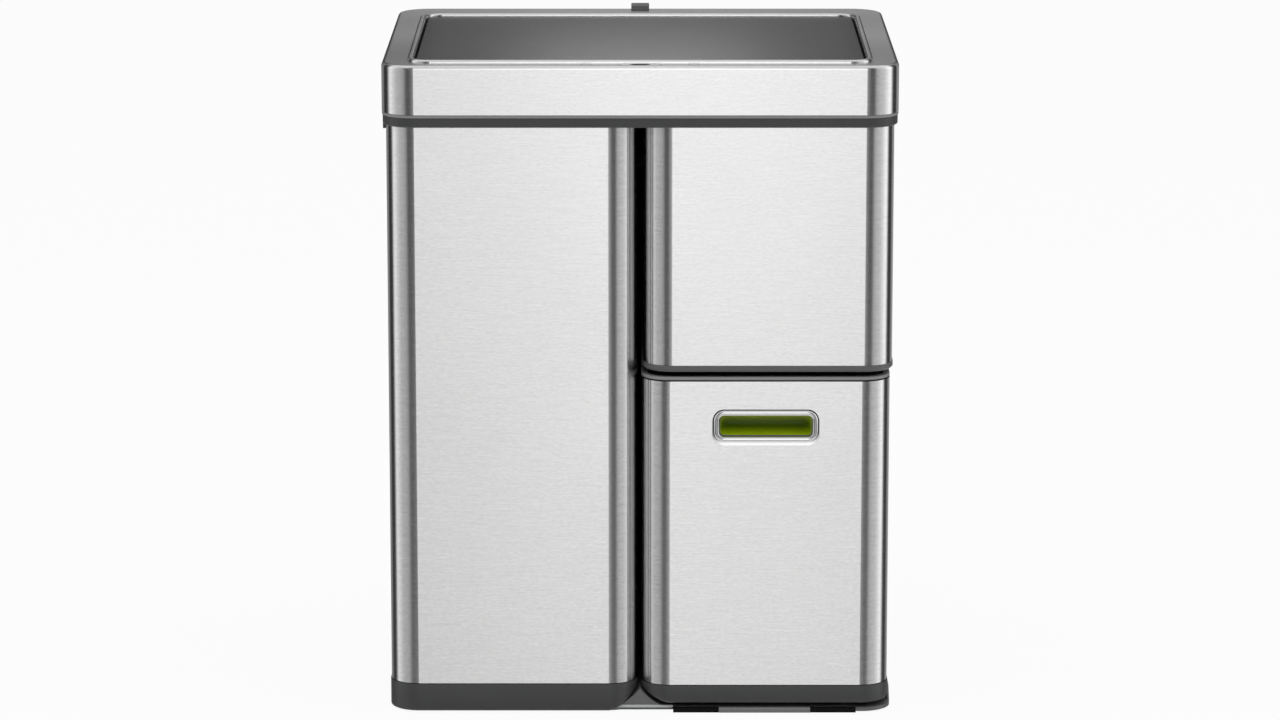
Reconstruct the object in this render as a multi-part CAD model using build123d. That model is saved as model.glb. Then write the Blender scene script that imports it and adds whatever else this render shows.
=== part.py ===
from build123d import *
import math
import os

# Overall size: the front faces -Y, +X is the right hand side, the floor is z = 0
collar_width = 500.0
collar_depth = 410.0
collar_corner = 32.0
rim_top = 644.0
skirt_height = 48.0
collar_ring_height = 12.5
overhang = 4.0
sheet = 0.8
tower_gap = 6.0

# Base
foot_height = 1.5
plate_thickness = 3.5
base_ring_top = 29.0
ring_proud = 0.8
ring_wall = 3.0
ring_foot_round = 2.5
ring_shoulder = 1.0
floor_thickness = 3.0
spigot_wall = 2.0
spigot_reach = 10.0
plate_fit = 0.3
connector_setback = 5.0
connector_length = 340.0
tray_setback = 6.0
tray_front_width = 180.0
tray_wall = 1.6
tray_wall_height = 11.0
tray_wall_run = 14.0
foot_length = 44.0
foot_width = 16.0
foot_corner = 4.0
foot_inset = 24.0
pad_height = 4.5
pad_tongue = 20.0
lip_width = 90.0
lip_height = 5.0
lip_round = 1.5
lip_proud = 0.6

# Column tops and liners
shell_rise = 5.0
flange_thickness = 3.0
flange_width = 13.0
liner_wall = 2.0
liner_floor = 2.5
liner_fit = 0.8
liner_seat = 4.0
liner_taper = 10.0
liner_lift = 4.0
liner_corner = 14.0

# Upper compartment and the column behind the caddy
upper_floor = 343.0
upper_ring_height = 6.3
upper_ring_bevel = 2.0
pan_floor = 2.5
column_depth = 23.0
column_sheet = 1.5

# Ties between the columns
tie_radius = 2.5
tie_fit = 0.1
tie_spread = 120.0
tie_inset = 50.0
spacer_radius = 8.0
tie_head_radius = 5.0
tie_head = 2.5
tie_nut = 3.0

# Small screws
screw_radius = 2.0
screw_head_radius = 4.0
screw_head = 2.0
screw_fit = 0.05
column_screw_spread = 70.0

# Divider between the columns
divider_half = 11.0
divider_edge = 3.0
divider_crest = 10.0
divider_crest_half = 2.0
divider_end_gap = 2.0

# Dark strip that closes the gap between the columns, behind the caddy
gap_strip_depth = 6.0
gap_strip_fit = 0.2

# Pull-out caddy
caddy_shift = 2.0
caddy_rear_gap = 4.0
caddy_top_gap = 5.0
caddy_ring_drop = 1.5
glide_height = 4.0
glide_width = 14.0
glide_length = 290.0
glide_corner = 3.5
glide_spread = 80.0
slide_gap = 0.2
pan_foot_round = 4.0
caddy_bead = 3.0
caddy_groove = 1.5
caddy_groove_depth = 1.0
caddy_bead_round = 1.2
caddy_bead_width = 6.0
caddy_ledge = 3.0
caddy_liner_rim = 2.5
caddy_liner_front = 26.0
caddy_liner_rear = 14.0
caddy_rim_gap = 0.5

# Finger cup
handle_z = 288.0
bezel_width = 105.0
bezel_height = 36.8
bezel_corner = 11.0
bezel_proud = 2.6
bezel_round = 1.8
grip_width = 91.0
grip_height = 21.4
grip_corner = 5.0
bezel_neck = 2.2
neck_fit = 0.2
cup_flange = 4.0
cup_flange_thickness = 1.8
cup_depth = 20.0
cup_wall = 2.0
cup_round = 8.0

# Collar
ring_fit = 0.6
ring_step_width = 1.8
ring_step_height = 2.5
ring_low_round = 2.0
shelf_width = 8.0
web_thickness = 2.5
edge_round = 4.0
front_rim = 23.5
rear_rim = 63.0
side_rim = 31.0
mouth_corner = 16.0
bead_width = 6.5
bead_height = 3.0
bead_round = 2.6
mouth_wall = 2.5
catch_length = 24.0
catch_drop = 6.0
catch_inset = 31.0
collar_screw_radius = 1.6
collar_screw_head_radius = 3.0
collar_screw_bite = 3.5
side_screw_spread = 110.0
end_screw_spread = 140.0

# Lid
lid_gap = 2.0
lid_rear_gap = 2.5
lid_sheet = 2.0
lid_edge_round = 0.8
lid_pan_depth = 9.0
lid_pan_inset = 3.0
lid_pan_wall = 2.5
lid_pan_floor = 2.0
axis_inset = 13.5
axis_drop = 7.0
shaft_radius = 3.0
shaft_fit = 0.06
hinge_bar = 12.0
bush_radius = 4.5
boss_half = 9.0
boss_top_gap = 0.4
buffer_radius = 4.0
buffer_height = 2.8
buffer_gap = 0.2
buffer_spread = 150.0
ledge_width = 20.0
ledge_reach = 13.5
ledge_thickness = 5.0

# Lid drive
coarse_module = 1.0
fine_module = 0.8
sector_teeth = 32
small_teeth = 12
large_teeth = 30
pinion_teeth = 10
sector_first = -1
sector_last = 8
addendum = 0.8
dedendum = 1.0
pressure = math.radians(25.0)
tooth_slack = 0.2
flank_steps = 3
coarse_face = 6.0
fine_face = 4.0
gear_side_gap = 1.0
gear_plate = 2.0
gear_plate_front = 22.0
gear_plate_rear = 17.0
gear_cover_foot = 3.5
gear_cover_top = 10.0
axle_radius = 1.5
axle_fit = 0.05
hub_radius = 2.4
hub_gap = 0.3
sector_hub = 5.0
post_radius = 3.0
motor_radius = 12.0
motor_length = 30.0
motor_boss_radius = 4.0
motor_shaft_radius = 1.15
motor_shaft_depth = 6.0

# Sensor strip in the front rim
strip_inset = 8.8
sensor_width = 18.5
sensor_depth = 7.4
sensor_proud = 0.3
sensor_lip = 1.0
sensor_lip_thickness = 1.5
window_fit = 0.25
button_spread = 52.0
button_width = 11.0
button_depth = 6.6
button_proud = 0.6
button_lip = 1.0
button_lip_thickness = 1.5
button_lip_gap = 0.3
button_stem_radius = 2.0
button_travel = 0.8
button_stop_gap = 0.1
board_drop = 12.4
board_thickness = 1.6
board_length = 170.0
board_depth = 14.0
board_post_spread = 75.0
board_post_radius = 3.5
board_screw_radius = 1.25
board_screw_head_radius = 2.6
board_screw_head = 1.6
board_screw_bite = 6.0
switch_size = 6.0
switch_height = 2.2

# Cells and their door in the rear of the collar
cell_radius = 12.8
cell_length = 50.0
cell_count = 4
cell_room = 0.3
cell_play = 0.1
contact_room = 4.0
contact_sheet = 0.5
contact_radius = 5.0
nub_radius = 3.0
nub_height = 1.5
box_wall = 2.0
box_end = 3.5
box_depth = 33.0
box_rise = 5.0
box_height = 32.0
box_rib = 6.0
box_rib_spread = 60.0
box_lip_setback = 5.2
box_skirt_gap = 0.6
door_thickness = 2.4
door_gap = 0.5
door_foot_gap = 1.6
door_height = 30.0
door_rise = 1.0
door_pin_radius = 1.2
door_pin_fit = 0.05
door_pin_reach = 3.0
door_pin_up = 2.3
door_pin_in = 3.2
tab_width = 18.5
tab_height = 5.0
tab_thickness = 2.4
tab_reach = 18.0
tab_gap = 0.3
tab_root = 9.0
tab_round = 1.0

# Power switch in the rear of the collar
rocker_x = -150.0
rocker_rise = 24.0
rocker_width = 14.2
rocker_height = 8.0
rocker_depth = 7.0
rocker_proud = 2.4
rocker_tilt = 6.0
rocker_pin_radius = 1.0
rocker_pin_reach = 1.5
rocker_pin_in = 2.5
rocker_room = 0.4
rocker_swing = 1.0
switch_wall = 2.3
switch_flange = 1.6
switch_flange_thickness = 1.2
switch_depth = 11.0
switch_fit = 0.2

# Wires
wire_radius = 2.0
wire_bend = 12.0
wire_side = 15.0
wire_rear = 23.0
lead_drop = 13.0

# Places that follow from the sizes above
body_width = collar_width - 2 * overhang
body_depth = collar_depth - 2 * overhang
body_corner = collar_corner - overhang
column_width = (body_width - tower_gap) / 2
left_x = -(tower_gap + column_width) / 2
right_x = (tower_gap + column_width) / 2
front_y = -body_depth / 2
rear_y = body_depth / 2
collar_front = -collar_depth / 2
collar_rear = collar_depth / 2
ring_width = column_width + 2 * ring_proud
ring_depth = body_depth + 2 * ring_proud
ring_corner = body_corner + ring_proud
plate_top = foot_height + plate_thickness
collar_low = rim_top - skirt_height - collar_ring_height
skirt_low = rim_top - skirt_height
shell_top = collar_low + shell_rise
seat_z = shell_top + flange_thickness
cover_under = rim_top - sheet
mouth_width = collar_width - 2 * side_rim
mouth_front = collar_front + front_rim
mouth_rear = collar_rear - rear_rim
mouth_depth = mouth_rear - mouth_front
mouth_y = (mouth_front + mouth_rear) / 2
pieces = {}


def span(low_x, high_x, low_y, high_y, low_z, high_z):
    middle = Pos((low_x + high_x) / 2, (low_y + high_y) / 2, (low_z + high_z) / 2)
    return middle * Box(high_x - low_x, high_y - low_y, high_z - low_z)


def slab(width, depth, corner, low, high, x=0.0, y=0.0):
    return Pos(x, y, low) * extrude(RectangleRounded(width, depth, corner), high - low)


def rod_x(radius, start, end, y, z):
    return Pos((start + end) / 2, y, z) * Rot(0, 90, 0) * Cylinder(radius, end - start)


def rod_z(radius, low, high, x, y):
    return Pos(x, y, (low + high) / 2) * Cylinder(radius, high - low)


def front_slab(width, height, corner, back, front, x, z):
    face = Plane((x, back, z), x_dir=(1, 0, 0), z_dir=(0, -1, 0))
    return extrude(face * RectangleRounded(width, height, corner), back - front)


def side_profile(points, start, end):
    face = Plane((start, 0, 0), x_dir=(0, 1, 0), z_dir=(1, 0, 0))
    return extrude(face * make_face(Polyline(*points, close=True)), end - start)


def round_top(body, radius):
    return fillet(body.faces().sort_by(Axis.Z)[-1].edges(), radius)


def round_foot(body, radius):
    return fillet(body.faces().sort_by(Axis.Z)[0].edges(), radius)


def bevel_top(body, rise, width):
    face = body.faces().sort_by(Axis.Z)[-1]
    return chamfer(face.edges(), rise, width, reference=face)


def bevel_foot(body, size):
    return chamfer(body.faces().sort_by(Axis.Z)[0].edges(), size)


def bucket(width, depth, corner, low, high, x, y):
    foot = RectangleRounded(width - 2 * liner_taper, depth - 2 * liner_taper, corner)
    head = RectangleRounded(width, depth, corner)
    return loft([Pos(x, y, low) * foot, Pos(x, y, high) * head], ruled=True)


def keep(name, body):
    pieces[name] = body


# Base plate: a pad inside the left ring, a tray under the caddy and the bridge between them
def base_screw_places():
    places = []
    for side in (-1, 1):
        for end in (-1, 1):
            x = left_x + side * (column_width / 2 - foot_inset)
            places.append((x, end * (body_depth / 2 - foot_inset - foot_width)))
        places.append((right_x + side * column_screw_spread, rear_y - column_depth / 2))
    return places


def build_base():
    inner_width = ring_width - 2 * ring_wall
    inner_depth = ring_depth - 2 * ring_wall
    inner_corner = ring_corner - ring_wall
    pad_width = inner_width - 2 * plate_fit
    pad_depth = inner_depth - 2 * plate_fit
    pad = slab(pad_width, pad_depth, inner_corner - plate_fit, foot_height, plate_top, left_x)
    tray = slab(ring_width, ring_depth, ring_corner, foot_height, plate_top, right_x)
    bridge_front = front_y + connector_setback
    bridge = span(left_x, right_x, bridge_front, bridge_front + connector_length, foot_height, plate_top)
    recess_back = front_y - ring_proud + tray_setback
    tray_half = tray_front_width / 2
    edge = right_x - ring_width / 2
    recess_end = right_x - caddy_shift + tray_half
    recess = span(edge, recess_end, front_y - tray_setback, recess_back, 0, plate_top)
    wall_outer = slab(ring_width, ring_depth, ring_corner, plate_top, plate_top + tray_wall_height, right_x)
    wall_inner_width = ring_width - 2 * tray_wall
    wall_inner_depth = ring_depth - 2 * tray_wall
    wall_corner = ring_corner - tray_wall
    wall_top = plate_top + tray_wall_height
    wall_inner = slab(wall_inner_width, wall_inner_depth, wall_corner, plate_top, wall_top, right_x)
    wall_start = front_y + body_corner
    wall_end = rear_y - column_depth
    run = span(right_x, right_x + ring_width, wall_start, wall_end, plate_top, wall_top)
    ramp = side_profile(
        [(wall_start, plate_top), (wall_start, wall_top), (wall_start + tray_wall_run, wall_top)],
        right_x,
        right_x + ring_width,
    )
    wall = (wall_outer - wall_inner) & run
    plate = pad + tray + bridge - recess + (wall - ramp)
    screws = Part()
    for x, y in base_screw_places():
        plate -= rod_z(screw_head_radius + screw_fit, foot_height, foot_height + screw_head, x, y)
        plate -= rod_z(screw_radius + screw_fit, foot_height, plate_top, x, y)
        screws += rod_z(screw_head_radius, foot_height, foot_height + screw_head, x, y)
        screws += rod_z(screw_radius, foot_height, plate_top + floor_thickness, x, y)
    keep("base_plate", plate)
    keep("base_screws", screws)

    feet = Part()
    for side in (-1, 1):
        for end in (-1, 1):
            x = left_x + side * (column_width / 2 - foot_inset - foot_length / 2)
            y = end * (body_depth / 2 - foot_inset)
            feet += slab(foot_length, foot_width, foot_corner, 0, foot_height, x, y)
        x = right_x + side * (column_width / 2 - foot_inset - foot_length / 2)
        y = rear_y - foot_inset - foot_width
        feet += slab(foot_length, foot_width, foot_corner, 0, foot_height, x, y)
    keep("base_feet", feet)

    front = front_y - ring_proud
    caddy_x = right_x - caddy_shift
    pads = Part()
    for side in (-1, 1):
        near = caddy_x + side * lip_width / 2
        far = caddy_x + side * tray_half
        low_x = min(near, far)
        high_x = max(near, far)
        pads += span(low_x, high_x, front, recess_back, 0, pad_height)
        pads += span(low_x, high_x, recess_back, recess_back + pad_tongue, 0, foot_height)
    keep("front_pads", pads)
    low_x = caddy_x - lip_width / 2
    high_x = caddy_x + lip_width / 2
    lip = span(low_x, high_x, front - lip_proud, recess_back, 0, lip_height)
    lip = fillet(lip.faces().sort_by(Axis.Y)[0].edges().sort_by(Axis.Z)[-1:], lip_round)
    lip += span(low_x, high_x, recess_back, recess_back + pad_tongue, 0, foot_height)
    keep("tray_lip", lip)

    outer = slab(ring_width, ring_depth, ring_corner, foot_height, base_ring_top, left_x)
    outer = bevel_top(round_foot(outer, ring_foot_round), ring_shoulder, ring_shoulder / 2)
    hollow = slab(inner_width, inner_depth, inner_corner, foot_height, base_ring_top, left_x)
    floor = slab(inner_width, inner_depth, inner_corner, plate_top, plate_top + floor_thickness, left_x)
    ring = outer - hollow + floor + spigot(body_depth, base_ring_top, left_x, 0.0)
    notch_top = plate_top
    ring -= span(left_x, 0, bridge_front, bridge_front + connector_length, foot_height, notch_top)
    for x, y in base_screw_places():
        ring -= rod_z(screw_radius + screw_fit, plate_top, plate_top + floor_thickness, x, y)
    keep("left_base_ring", ring)


# Upstand inside a steel shell, centred on the shoulder that the shell stands on
def spigot(depth, level, x, y):
    width = column_width - 2 * sheet
    length = depth - 2 * sheet
    corner = body_corner - sheet
    low = level - spigot_reach / 2
    high = level + spigot_reach
    outer = slab(width, length, corner, low, high, x, y)
    wall = 2 * spigot_wall
    return outer - slab(width - wall, length - wall, corner - spigot_wall, low, high, x, y)


def shell(depth, low, high, x, y=0.0):
    outer = slab(column_width, depth, body_corner, low, high, x, y)
    inner_width = column_width - 2 * sheet
    return outer - slab(inner_width, depth - 2 * sheet, body_corner - sheet, low, high, x, y)


def tie_places():
    low = upper_floor + upper_ring_height + tie_inset
    high = shell_top - tie_inset
    return [(side * tie_spread, z) for side in (-1, 1) for z in (low, high)]


def top_frame(x):
    flange = slab(column_width, body_depth, body_corner, shell_top, seat_z, x)
    inner_width = column_width - 2 * sheet
    inner_depth = body_depth - 2 * sheet
    skirt = slab(inner_width, inner_depth, body_corner - sheet, shell_top - spigot_reach, shell_top, x)
    wall = 2 * spigot_wall
    corner = body_corner - sheet - spigot_wall
    skirt -= slab(inner_width - wall, inner_depth - wall, corner, shell_top - spigot_reach, shell_top, x)
    hole_width = column_width - 2 * flange_width
    hole_depth = body_depth - 2 * flange_width
    return flange - slab(hole_width, hole_depth, body_corner - flange_width, shell_top, seat_z, x) + skirt


def column_liner(low, x):
    width = column_width - 2 * flange_width - 2 * liner_fit
    depth = body_depth - 2 * flange_width - 2 * liner_fit
    high = seat_z + flange_thickness
    seat = 2 * (liner_seat + liner_fit)
    rim = slab(width + seat, depth + seat, liner_corner + liner_seat, seat_z, high, x)
    outer = bucket(width, depth, liner_corner, low, high, x, 0.0)
    wall = 2 * liner_wall
    corner = liner_corner - liner_wall
    return rim + outer - bucket(width - wall, depth - wall, corner, low + liner_floor, high, x, 0.0)


def build_columns():
    left = shell(body_depth, base_ring_top, shell_top, left_x)
    upper_low = upper_floor + upper_ring_height
    upper = shell(body_depth, upper_low, shell_top, right_x)
    spacers = Part()
    bolts = Part()
    half = tower_gap / 2
    for y, z in tie_places():
        hole = rod_x(tie_radius + tie_fit, -tie_head_radius - half, tie_head_radius + half, y, z)
        left -= hole
        upper -= hole
        spacers += rod_x(spacer_radius, -half, half, y, z) - hole
        bolts += rod_x(tie_radius, -half - sheet, half + sheet + tie_nut, y, z)
        bolts += rod_x(tie_head_radius, -half - sheet - tie_head, -half - sheet, y, z)
        bolts += rod_x(tie_head_radius, half + sheet, half + sheet + tie_nut, y, z)
    keep("left_shell", left)
    keep("upper_shell", upper)
    keep("tower_spacers", spacers)
    keep("tower_bolts", bolts)
    keep("left_top_frame", top_frame(left_x))
    keep("upper_top_frame", top_frame(right_x))
    keep("left_liner", column_liner(plate_top + floor_thickness + liner_lift, left_x))
    keep("upper_liner", column_liner(upper_floor + pan_floor + liner_lift, right_x))

    pan = slab(ring_width, ring_depth, ring_corner, upper_floor, upper_low, right_x)
    pan = bevel_foot(pan, upper_ring_bevel)
    inner_width = ring_width - 2 * ring_wall
    inner_depth = ring_depth - 2 * ring_wall
    floor_top = upper_floor + pan_floor
    pan -= slab(inner_width, inner_depth, ring_corner - ring_wall, floor_top, upper_low, right_x)
    collar = spigot(body_depth, upper_low, right_x, 0.0)
    above = slab(2 * ring_width, 2 * ring_depth, ring_corner, floor_top, shell_top, right_x)
    pan += collar & above

    back = rear_y - column_depth
    slice_box = span(right_x - column_width, right_x + column_width, back, rear_y, plate_top, upper_floor)
    outer = slab(column_width, body_depth, body_corner, plate_top, upper_floor, right_x)
    wall = 2 * column_sheet
    inner = slab(
        column_width - wall,
        body_depth - wall,
        body_corner - column_sheet,
        plate_top + column_sheet,
        upper_floor - column_sheet,
        right_x,
    )
    column = (outer - inner) & slice_box
    screws = Part()
    low = upper_floor - column_sheet - screw_head
    for side in (-1, 1):
        x = right_x + side * column_screw_spread
        y = rear_y - column_depth / 2
        column -= rod_z(screw_radius + screw_fit, plate_top, upper_floor, x, y)
        pan -= rod_z(screw_radius + screw_fit, upper_floor, floor_top, x, y)
        screws += rod_z(screw_radius, low, floor_top, x, y)
        screws += rod_z(screw_head_radius, floor_top, floor_top + screw_head, x, y)
    keep("upper_pan", pan)
    keep("rear_column", column)
    keep("column_screws", screws)

    crest = seat_z + divider_edge + divider_crest
    outline = [
        (-divider_half, seat_z),
        (divider_half, seat_z),
        (divider_half, seat_z + divider_edge),
        (divider_crest_half, crest),
        (-divider_crest_half, crest),
        (-divider_half, seat_z + divider_edge),
    ]
    face = Plane((0, mouth_rear - divider_end_gap, 0), x_dir=(1, 0, 0), z_dir=(0, -1, 0))
    ridge = extrude(face * make_face(Polyline(*outline, close=True)), mouth_depth - 2 * divider_end_gap)
    keep("divider_ridge", ridge)

    strip_front = rear_y - column_depth - caddy_rear_gap / 2
    strip_rear = strip_front + gap_strip_depth
    strip_right = half - ring_proud - gap_strip_fit
    strip = span(-half, strip_right, strip_front, strip_rear, base_ring_top, shell_top)
    keep("gap_strip", strip)


# Caddy: its own pan, steel body, rim, liner and finger cup
def build_caddy():
    x = right_x - caddy_shift
    depth = body_depth - column_depth - caddy_rear_gap
    y = front_y + depth / 2
    low = plate_top + glide_height
    top = upper_floor - caddy_top_gap
    shell_high = top - caddy_bead - caddy_groove
    ring_top = base_ring_top - caddy_ring_drop
    pan_width = column_width + 2 * ring_proud
    pan_depth = depth + 2 * ring_proud
    pan = slab(pan_width, pan_depth, ring_corner, low, ring_top, x, y)
    pan = bevel_top(round_foot(pan, pan_foot_round), ring_shoulder, ring_shoulder / 2)
    wall = 2 * ring_wall
    floor_top = low + floor_thickness
    pan -= slab(pan_width - wall, pan_depth - wall, ring_corner - ring_wall, floor_top, ring_top, x, y)
    keep("caddy_pan", pan + spigot(depth, ring_top, x, y))

    glides = Part()
    for side in (-1, 1):
        glide_x = x + side * glide_spread
        glides += slab(glide_width, glide_length, glide_corner, plate_top + slide_gap, low, glide_x, y)
    keep("caddy_glides", glides)

    body = shell(depth, ring_top, shell_high, x, y)
    hole_width = grip_width + 2 * bezel_neck + 2 * neck_fit
    hole_height = grip_height + 2 * bezel_neck + 2 * neck_fit
    hole_corner = grip_corner + bezel_neck + neck_fit
    inside = front_y + sheet
    body -= front_slab(hole_width, hole_height, hole_corner, inside, front_y, x, handle_z)
    keep("caddy_shell", body)

    bezel = front_slab(bezel_width, bezel_height, bezel_corner, front_y, front_y - bezel_proud, x, handle_z)
    bezel = fillet(bezel.faces().sort_by(Axis.Y)[0].edges(), bezel_round)
    neck_back = inside + cup_flange_thickness
    neck_width = grip_width + 2 * bezel_neck
    neck_height = grip_height + 2 * bezel_neck
    bezel += front_slab(neck_width, neck_height, grip_corner + bezel_neck, neck_back, front_y, x, handle_z)
    bezel -= front_slab(grip_width, grip_height, grip_corner, neck_back, front_y - bezel_proud, x, handle_z)
    keep("handle_bezel", bezel)

    cup_back = neck_back + cup_depth
    cup_corner = grip_corner + cup_wall
    cup = front_slab(
        grip_width + 2 * cup_wall,
        grip_height + 2 * cup_wall,
        cup_corner,
        cup_back + cup_wall,
        neck_back,
        x,
        handle_z,
    )
    cup = fillet(cup.faces().sort_by(Axis.Y)[-1].edges(), cup_round + cup_wall)
    flange = front_slab(
        hole_width + 2 * cup_flange,
        hole_height + 2 * cup_flange,
        hole_corner + cup_flange,
        neck_back,
        inside,
        x,
        handle_z,
    )
    flange -= front_slab(neck_width, neck_height, grip_corner + bezel_neck, neck_back, inside, x, handle_z)
    land = front_slab(
        hole_width + 2 * cup_flange,
        hole_height + 2 * cup_flange,
        hole_corner + cup_flange,
        neck_back + cup_wall,
        neck_back,
        x,
        handle_z,
    )
    hollow = front_slab(grip_width, grip_height, grip_corner, cup_back, neck_back, x, handle_z)
    hollow = fillet(hollow.faces().sort_by(Axis.Y)[-1].edges(), cup_round)
    keep("handle_cup", cup + flange + land - hollow)

    rim_inner = 2 * caddy_bead_width
    bead_low = top - caddy_bead
    bead = slab(column_width, depth, body_corner, bead_low, top, x, y)
    bead = round_top(bead, caddy_bead_round)
    groove = 2 * caddy_groove_depth
    neck_corner = body_corner - caddy_groove_depth
    neck = slab(column_width - groove, depth - groove, neck_corner, shell_high, bead_low, x, y)
    plug_low = shell_high - spigot_reach
    fit = 2 * sheet
    plug = slab(column_width - fit, depth - fit, body_corner - sheet, plug_low, shell_high, x, y)
    ledge_z = shell_high
    ledge_low = ledge_z - caddy_ledge
    plug_wall = 2 * (sheet + spigot_wall)
    plug_corner = body_corner - sheet - spigot_wall
    plug -= slab(column_width - plug_wall, depth - plug_wall, plug_corner, plug_low, ledge_low, x, y)
    well_corner = body_corner - caddy_bead_width
    well = slab(column_width - rim_inner, depth - rim_inner, well_corner, ledge_z, top, x, y)
    hole_w = column_width - 2 * flange_width
    hole_d = depth - 2 * flange_width
    hole = slab(hole_w, hole_d, body_corner - flange_width, ledge_low, ledge_z, x, y)
    keep("caddy_rim", bead + neck + plug - well - hole)

    rim_w = column_width - rim_inner - 2 * caddy_rim_gap
    rim_d = depth - rim_inner - 2 * caddy_rim_gap
    rim_high = ledge_z + caddy_liner_rim
    rim = slab(rim_w, rim_d, well_corner - caddy_rim_gap, ledge_z, rim_high, x, y)
    liner_front = front_y + caddy_liner_front
    liner_rear = front_y + depth - caddy_liner_rear
    liner_w = hole_w - 2 * liner_fit
    liner_d = liner_rear - liner_front
    liner_y = (liner_front + liner_rear) / 2
    outer = bucket(liner_w, liner_d, liner_corner, floor_top + liner_lift, rim_high, x, liner_y)
    skin = 2 * liner_wall
    inner_low = floor_top + liner_lift + liner_floor
    inner_corner = liner_corner - liner_wall
    inner = bucket(liner_w - skin, liner_d - skin, inner_corner, inner_low, rim_high, x, liner_y)
    keep("caddy_liner", rim + outer - inner)


# Teeth as points, from the root of one flank over the tip to the root of the other
def tooth_points(count, module, middle):
    pitch = count * module / 2
    base = pitch * math.cos(pressure)
    tip = pitch + addendum * module
    root = pitch - dedendum * module
    start = max(base, root)
    half = math.pi / (2 * count) - tooth_slack / (2 * pitch)
    lean = math.tan(pressure) - pressure
    flank = []
    if root < base:
        flank.append((root, half + lean))
    for step in range(flank_steps + 1):
        radius = start + (tip - start) * step / flank_steps
        turn = math.acos(min(1.0, base / radius))
        flank.append((radius, half + lean - math.tan(turn) + turn))
    rising = [(radius, middle - angle) for radius, angle in flank]
    falling = [(radius, middle + angle) for radius, angle in reversed(flank)]
    return [(radius * math.cos(angle), radius * math.sin(angle)) for radius, angle in rising + falling]


def toothed(points, start, end, y, z):
    face = Plane((start, y, z), x_dir=(0, 1, 0), z_dir=(1, 0, 0))
    return extrude(face * make_face(Polyline(*points, close=True)), end - start)


def full_gear(count, module, phase, start, end, y, z):
    points = []
    for index in range(count):
        points += tooth_points(count, module, phase + index * math.tau / count)
    return toothed(points, start, end, y, z)


lid_axis_y = mouth_rear - lid_rear_gap - axis_inset
lid_axis_z = rim_top - axis_drop
first_z = lid_axis_z - (sector_teeth + small_teeth) * coarse_module / 2
fine_distance = (large_teeth + pinion_teeth) * fine_module / 2
second_y = lid_axis_y + fine_distance
motor_y = second_y + fine_distance
wall_inside = mouth_width / 2
wall_outside = wall_inside + mouth_wall
plate_outside = wall_outside + gear_plate
coarse_start = plate_outside + gear_side_gap
coarse_end = coarse_start + coarse_face
fine_start = coarse_end + gear_side_gap
fine_end = fine_start + fine_face
last_start = fine_end + gear_side_gap
last_end = last_start + fine_face
cover_inside = last_end + gear_side_gap
cover_outside = cover_inside + gear_plate
web_top = skirt_low + web_thickness


def build_drive():
    down = -math.pi / 2
    up = math.pi / 2
    back = math.pi
    step = math.tau / sector_teeth
    points = [(0.0, 0.0)]
    for index in range(sector_first, sector_last + 1):
        points += tooth_points(sector_teeth, coarse_module, down + index * step)
    sector = toothed(points, coarse_start, coarse_end, lid_axis_y, lid_axis_z)
    sector += rod_x(sector_hub, coarse_start, coarse_end, lid_axis_y, lid_axis_z)
    keep("lid_gear", sector - rod_x(shaft_radius, coarse_start, coarse_end, lid_axis_y, lid_axis_z))

    bore = axle_radius + axle_fit
    hub_start = plate_outside + hub_gap
    hub_end = cover_inside - hub_gap
    phase = up + math.pi / small_teeth
    first = full_gear(small_teeth, coarse_module, phase, coarse_start, fine_start, lid_axis_y, first_z)
    first += full_gear(large_teeth, fine_module, 0.0, fine_start, fine_end, lid_axis_y, first_z)
    first += rod_x(hub_radius, hub_start, hub_end, lid_axis_y, first_z)
    keep("first_gear", first - rod_x(bore, hub_start, hub_end, lid_axis_y, first_z))

    phase = back + math.pi / pinion_teeth
    second = full_gear(pinion_teeth, fine_module, phase, fine_start, last_start, second_y, first_z)
    second += full_gear(large_teeth, fine_module, 0.0, last_start, last_end, second_y, first_z)
    second += rod_x(hub_radius, hub_start, hub_end, second_y, first_z)
    keep("second_gear", second - rod_x(bore, hub_start, hub_end, second_y, first_z))

    pinion = full_gear(pinion_teeth, fine_module, phase, last_start, last_end, motor_y, first_z)
    pinion += rod_x(motor_shaft_radius, wall_outside - motor_shaft_depth, last_end, motor_y, first_z)
    keep("motor_pinion", pinion)

    can = rod_x(motor_radius, wall_outside - motor_length, wall_outside, motor_y, first_z)
    can += rod_x(motor_boss_radius, wall_outside, plate_outside, motor_y, first_z)
    shaft_end = wall_outside - motor_shaft_depth - hub_gap
    can -= rod_x(motor_shaft_radius + axle_fit, shaft_end, plate_outside, motor_y, first_z)
    keep("motor_can", can)

    axles = rod_x(axle_radius, wall_outside, cover_outside, lid_axis_y, first_z)
    axles += rod_x(axle_radius, wall_outside, cover_outside, second_y, first_z)
    keep("gear_axles", axles)

    front = lid_axis_y - gear_plate_front
    rear = motor_y + gear_plate_rear
    low = web_top + gear_cover_foot
    cover = span(cover_inside, cover_outside, front, rear, low, rim_top - gear_cover_top)
    for y, z in gear_post_places():
        cover += rod_x(post_radius, plate_outside, cover_inside, y, z)
    for y in (lid_axis_y, second_y):
        cover -= rod_x(axle_radius, cover_inside, cover_outside, y, first_z)
    keep("gear_cover", cover)


def gear_post_places():
    front = lid_axis_y - gear_plate_front + 2 * post_radius
    rear = motor_y + gear_plate_rear - 2 * post_radius
    low = web_top + gear_cover_foot + post_radius / 2
    high = rim_top - gear_cover_top - 2 * post_radius
    return [(front, low), (rear, low), (rear, high)]


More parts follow.
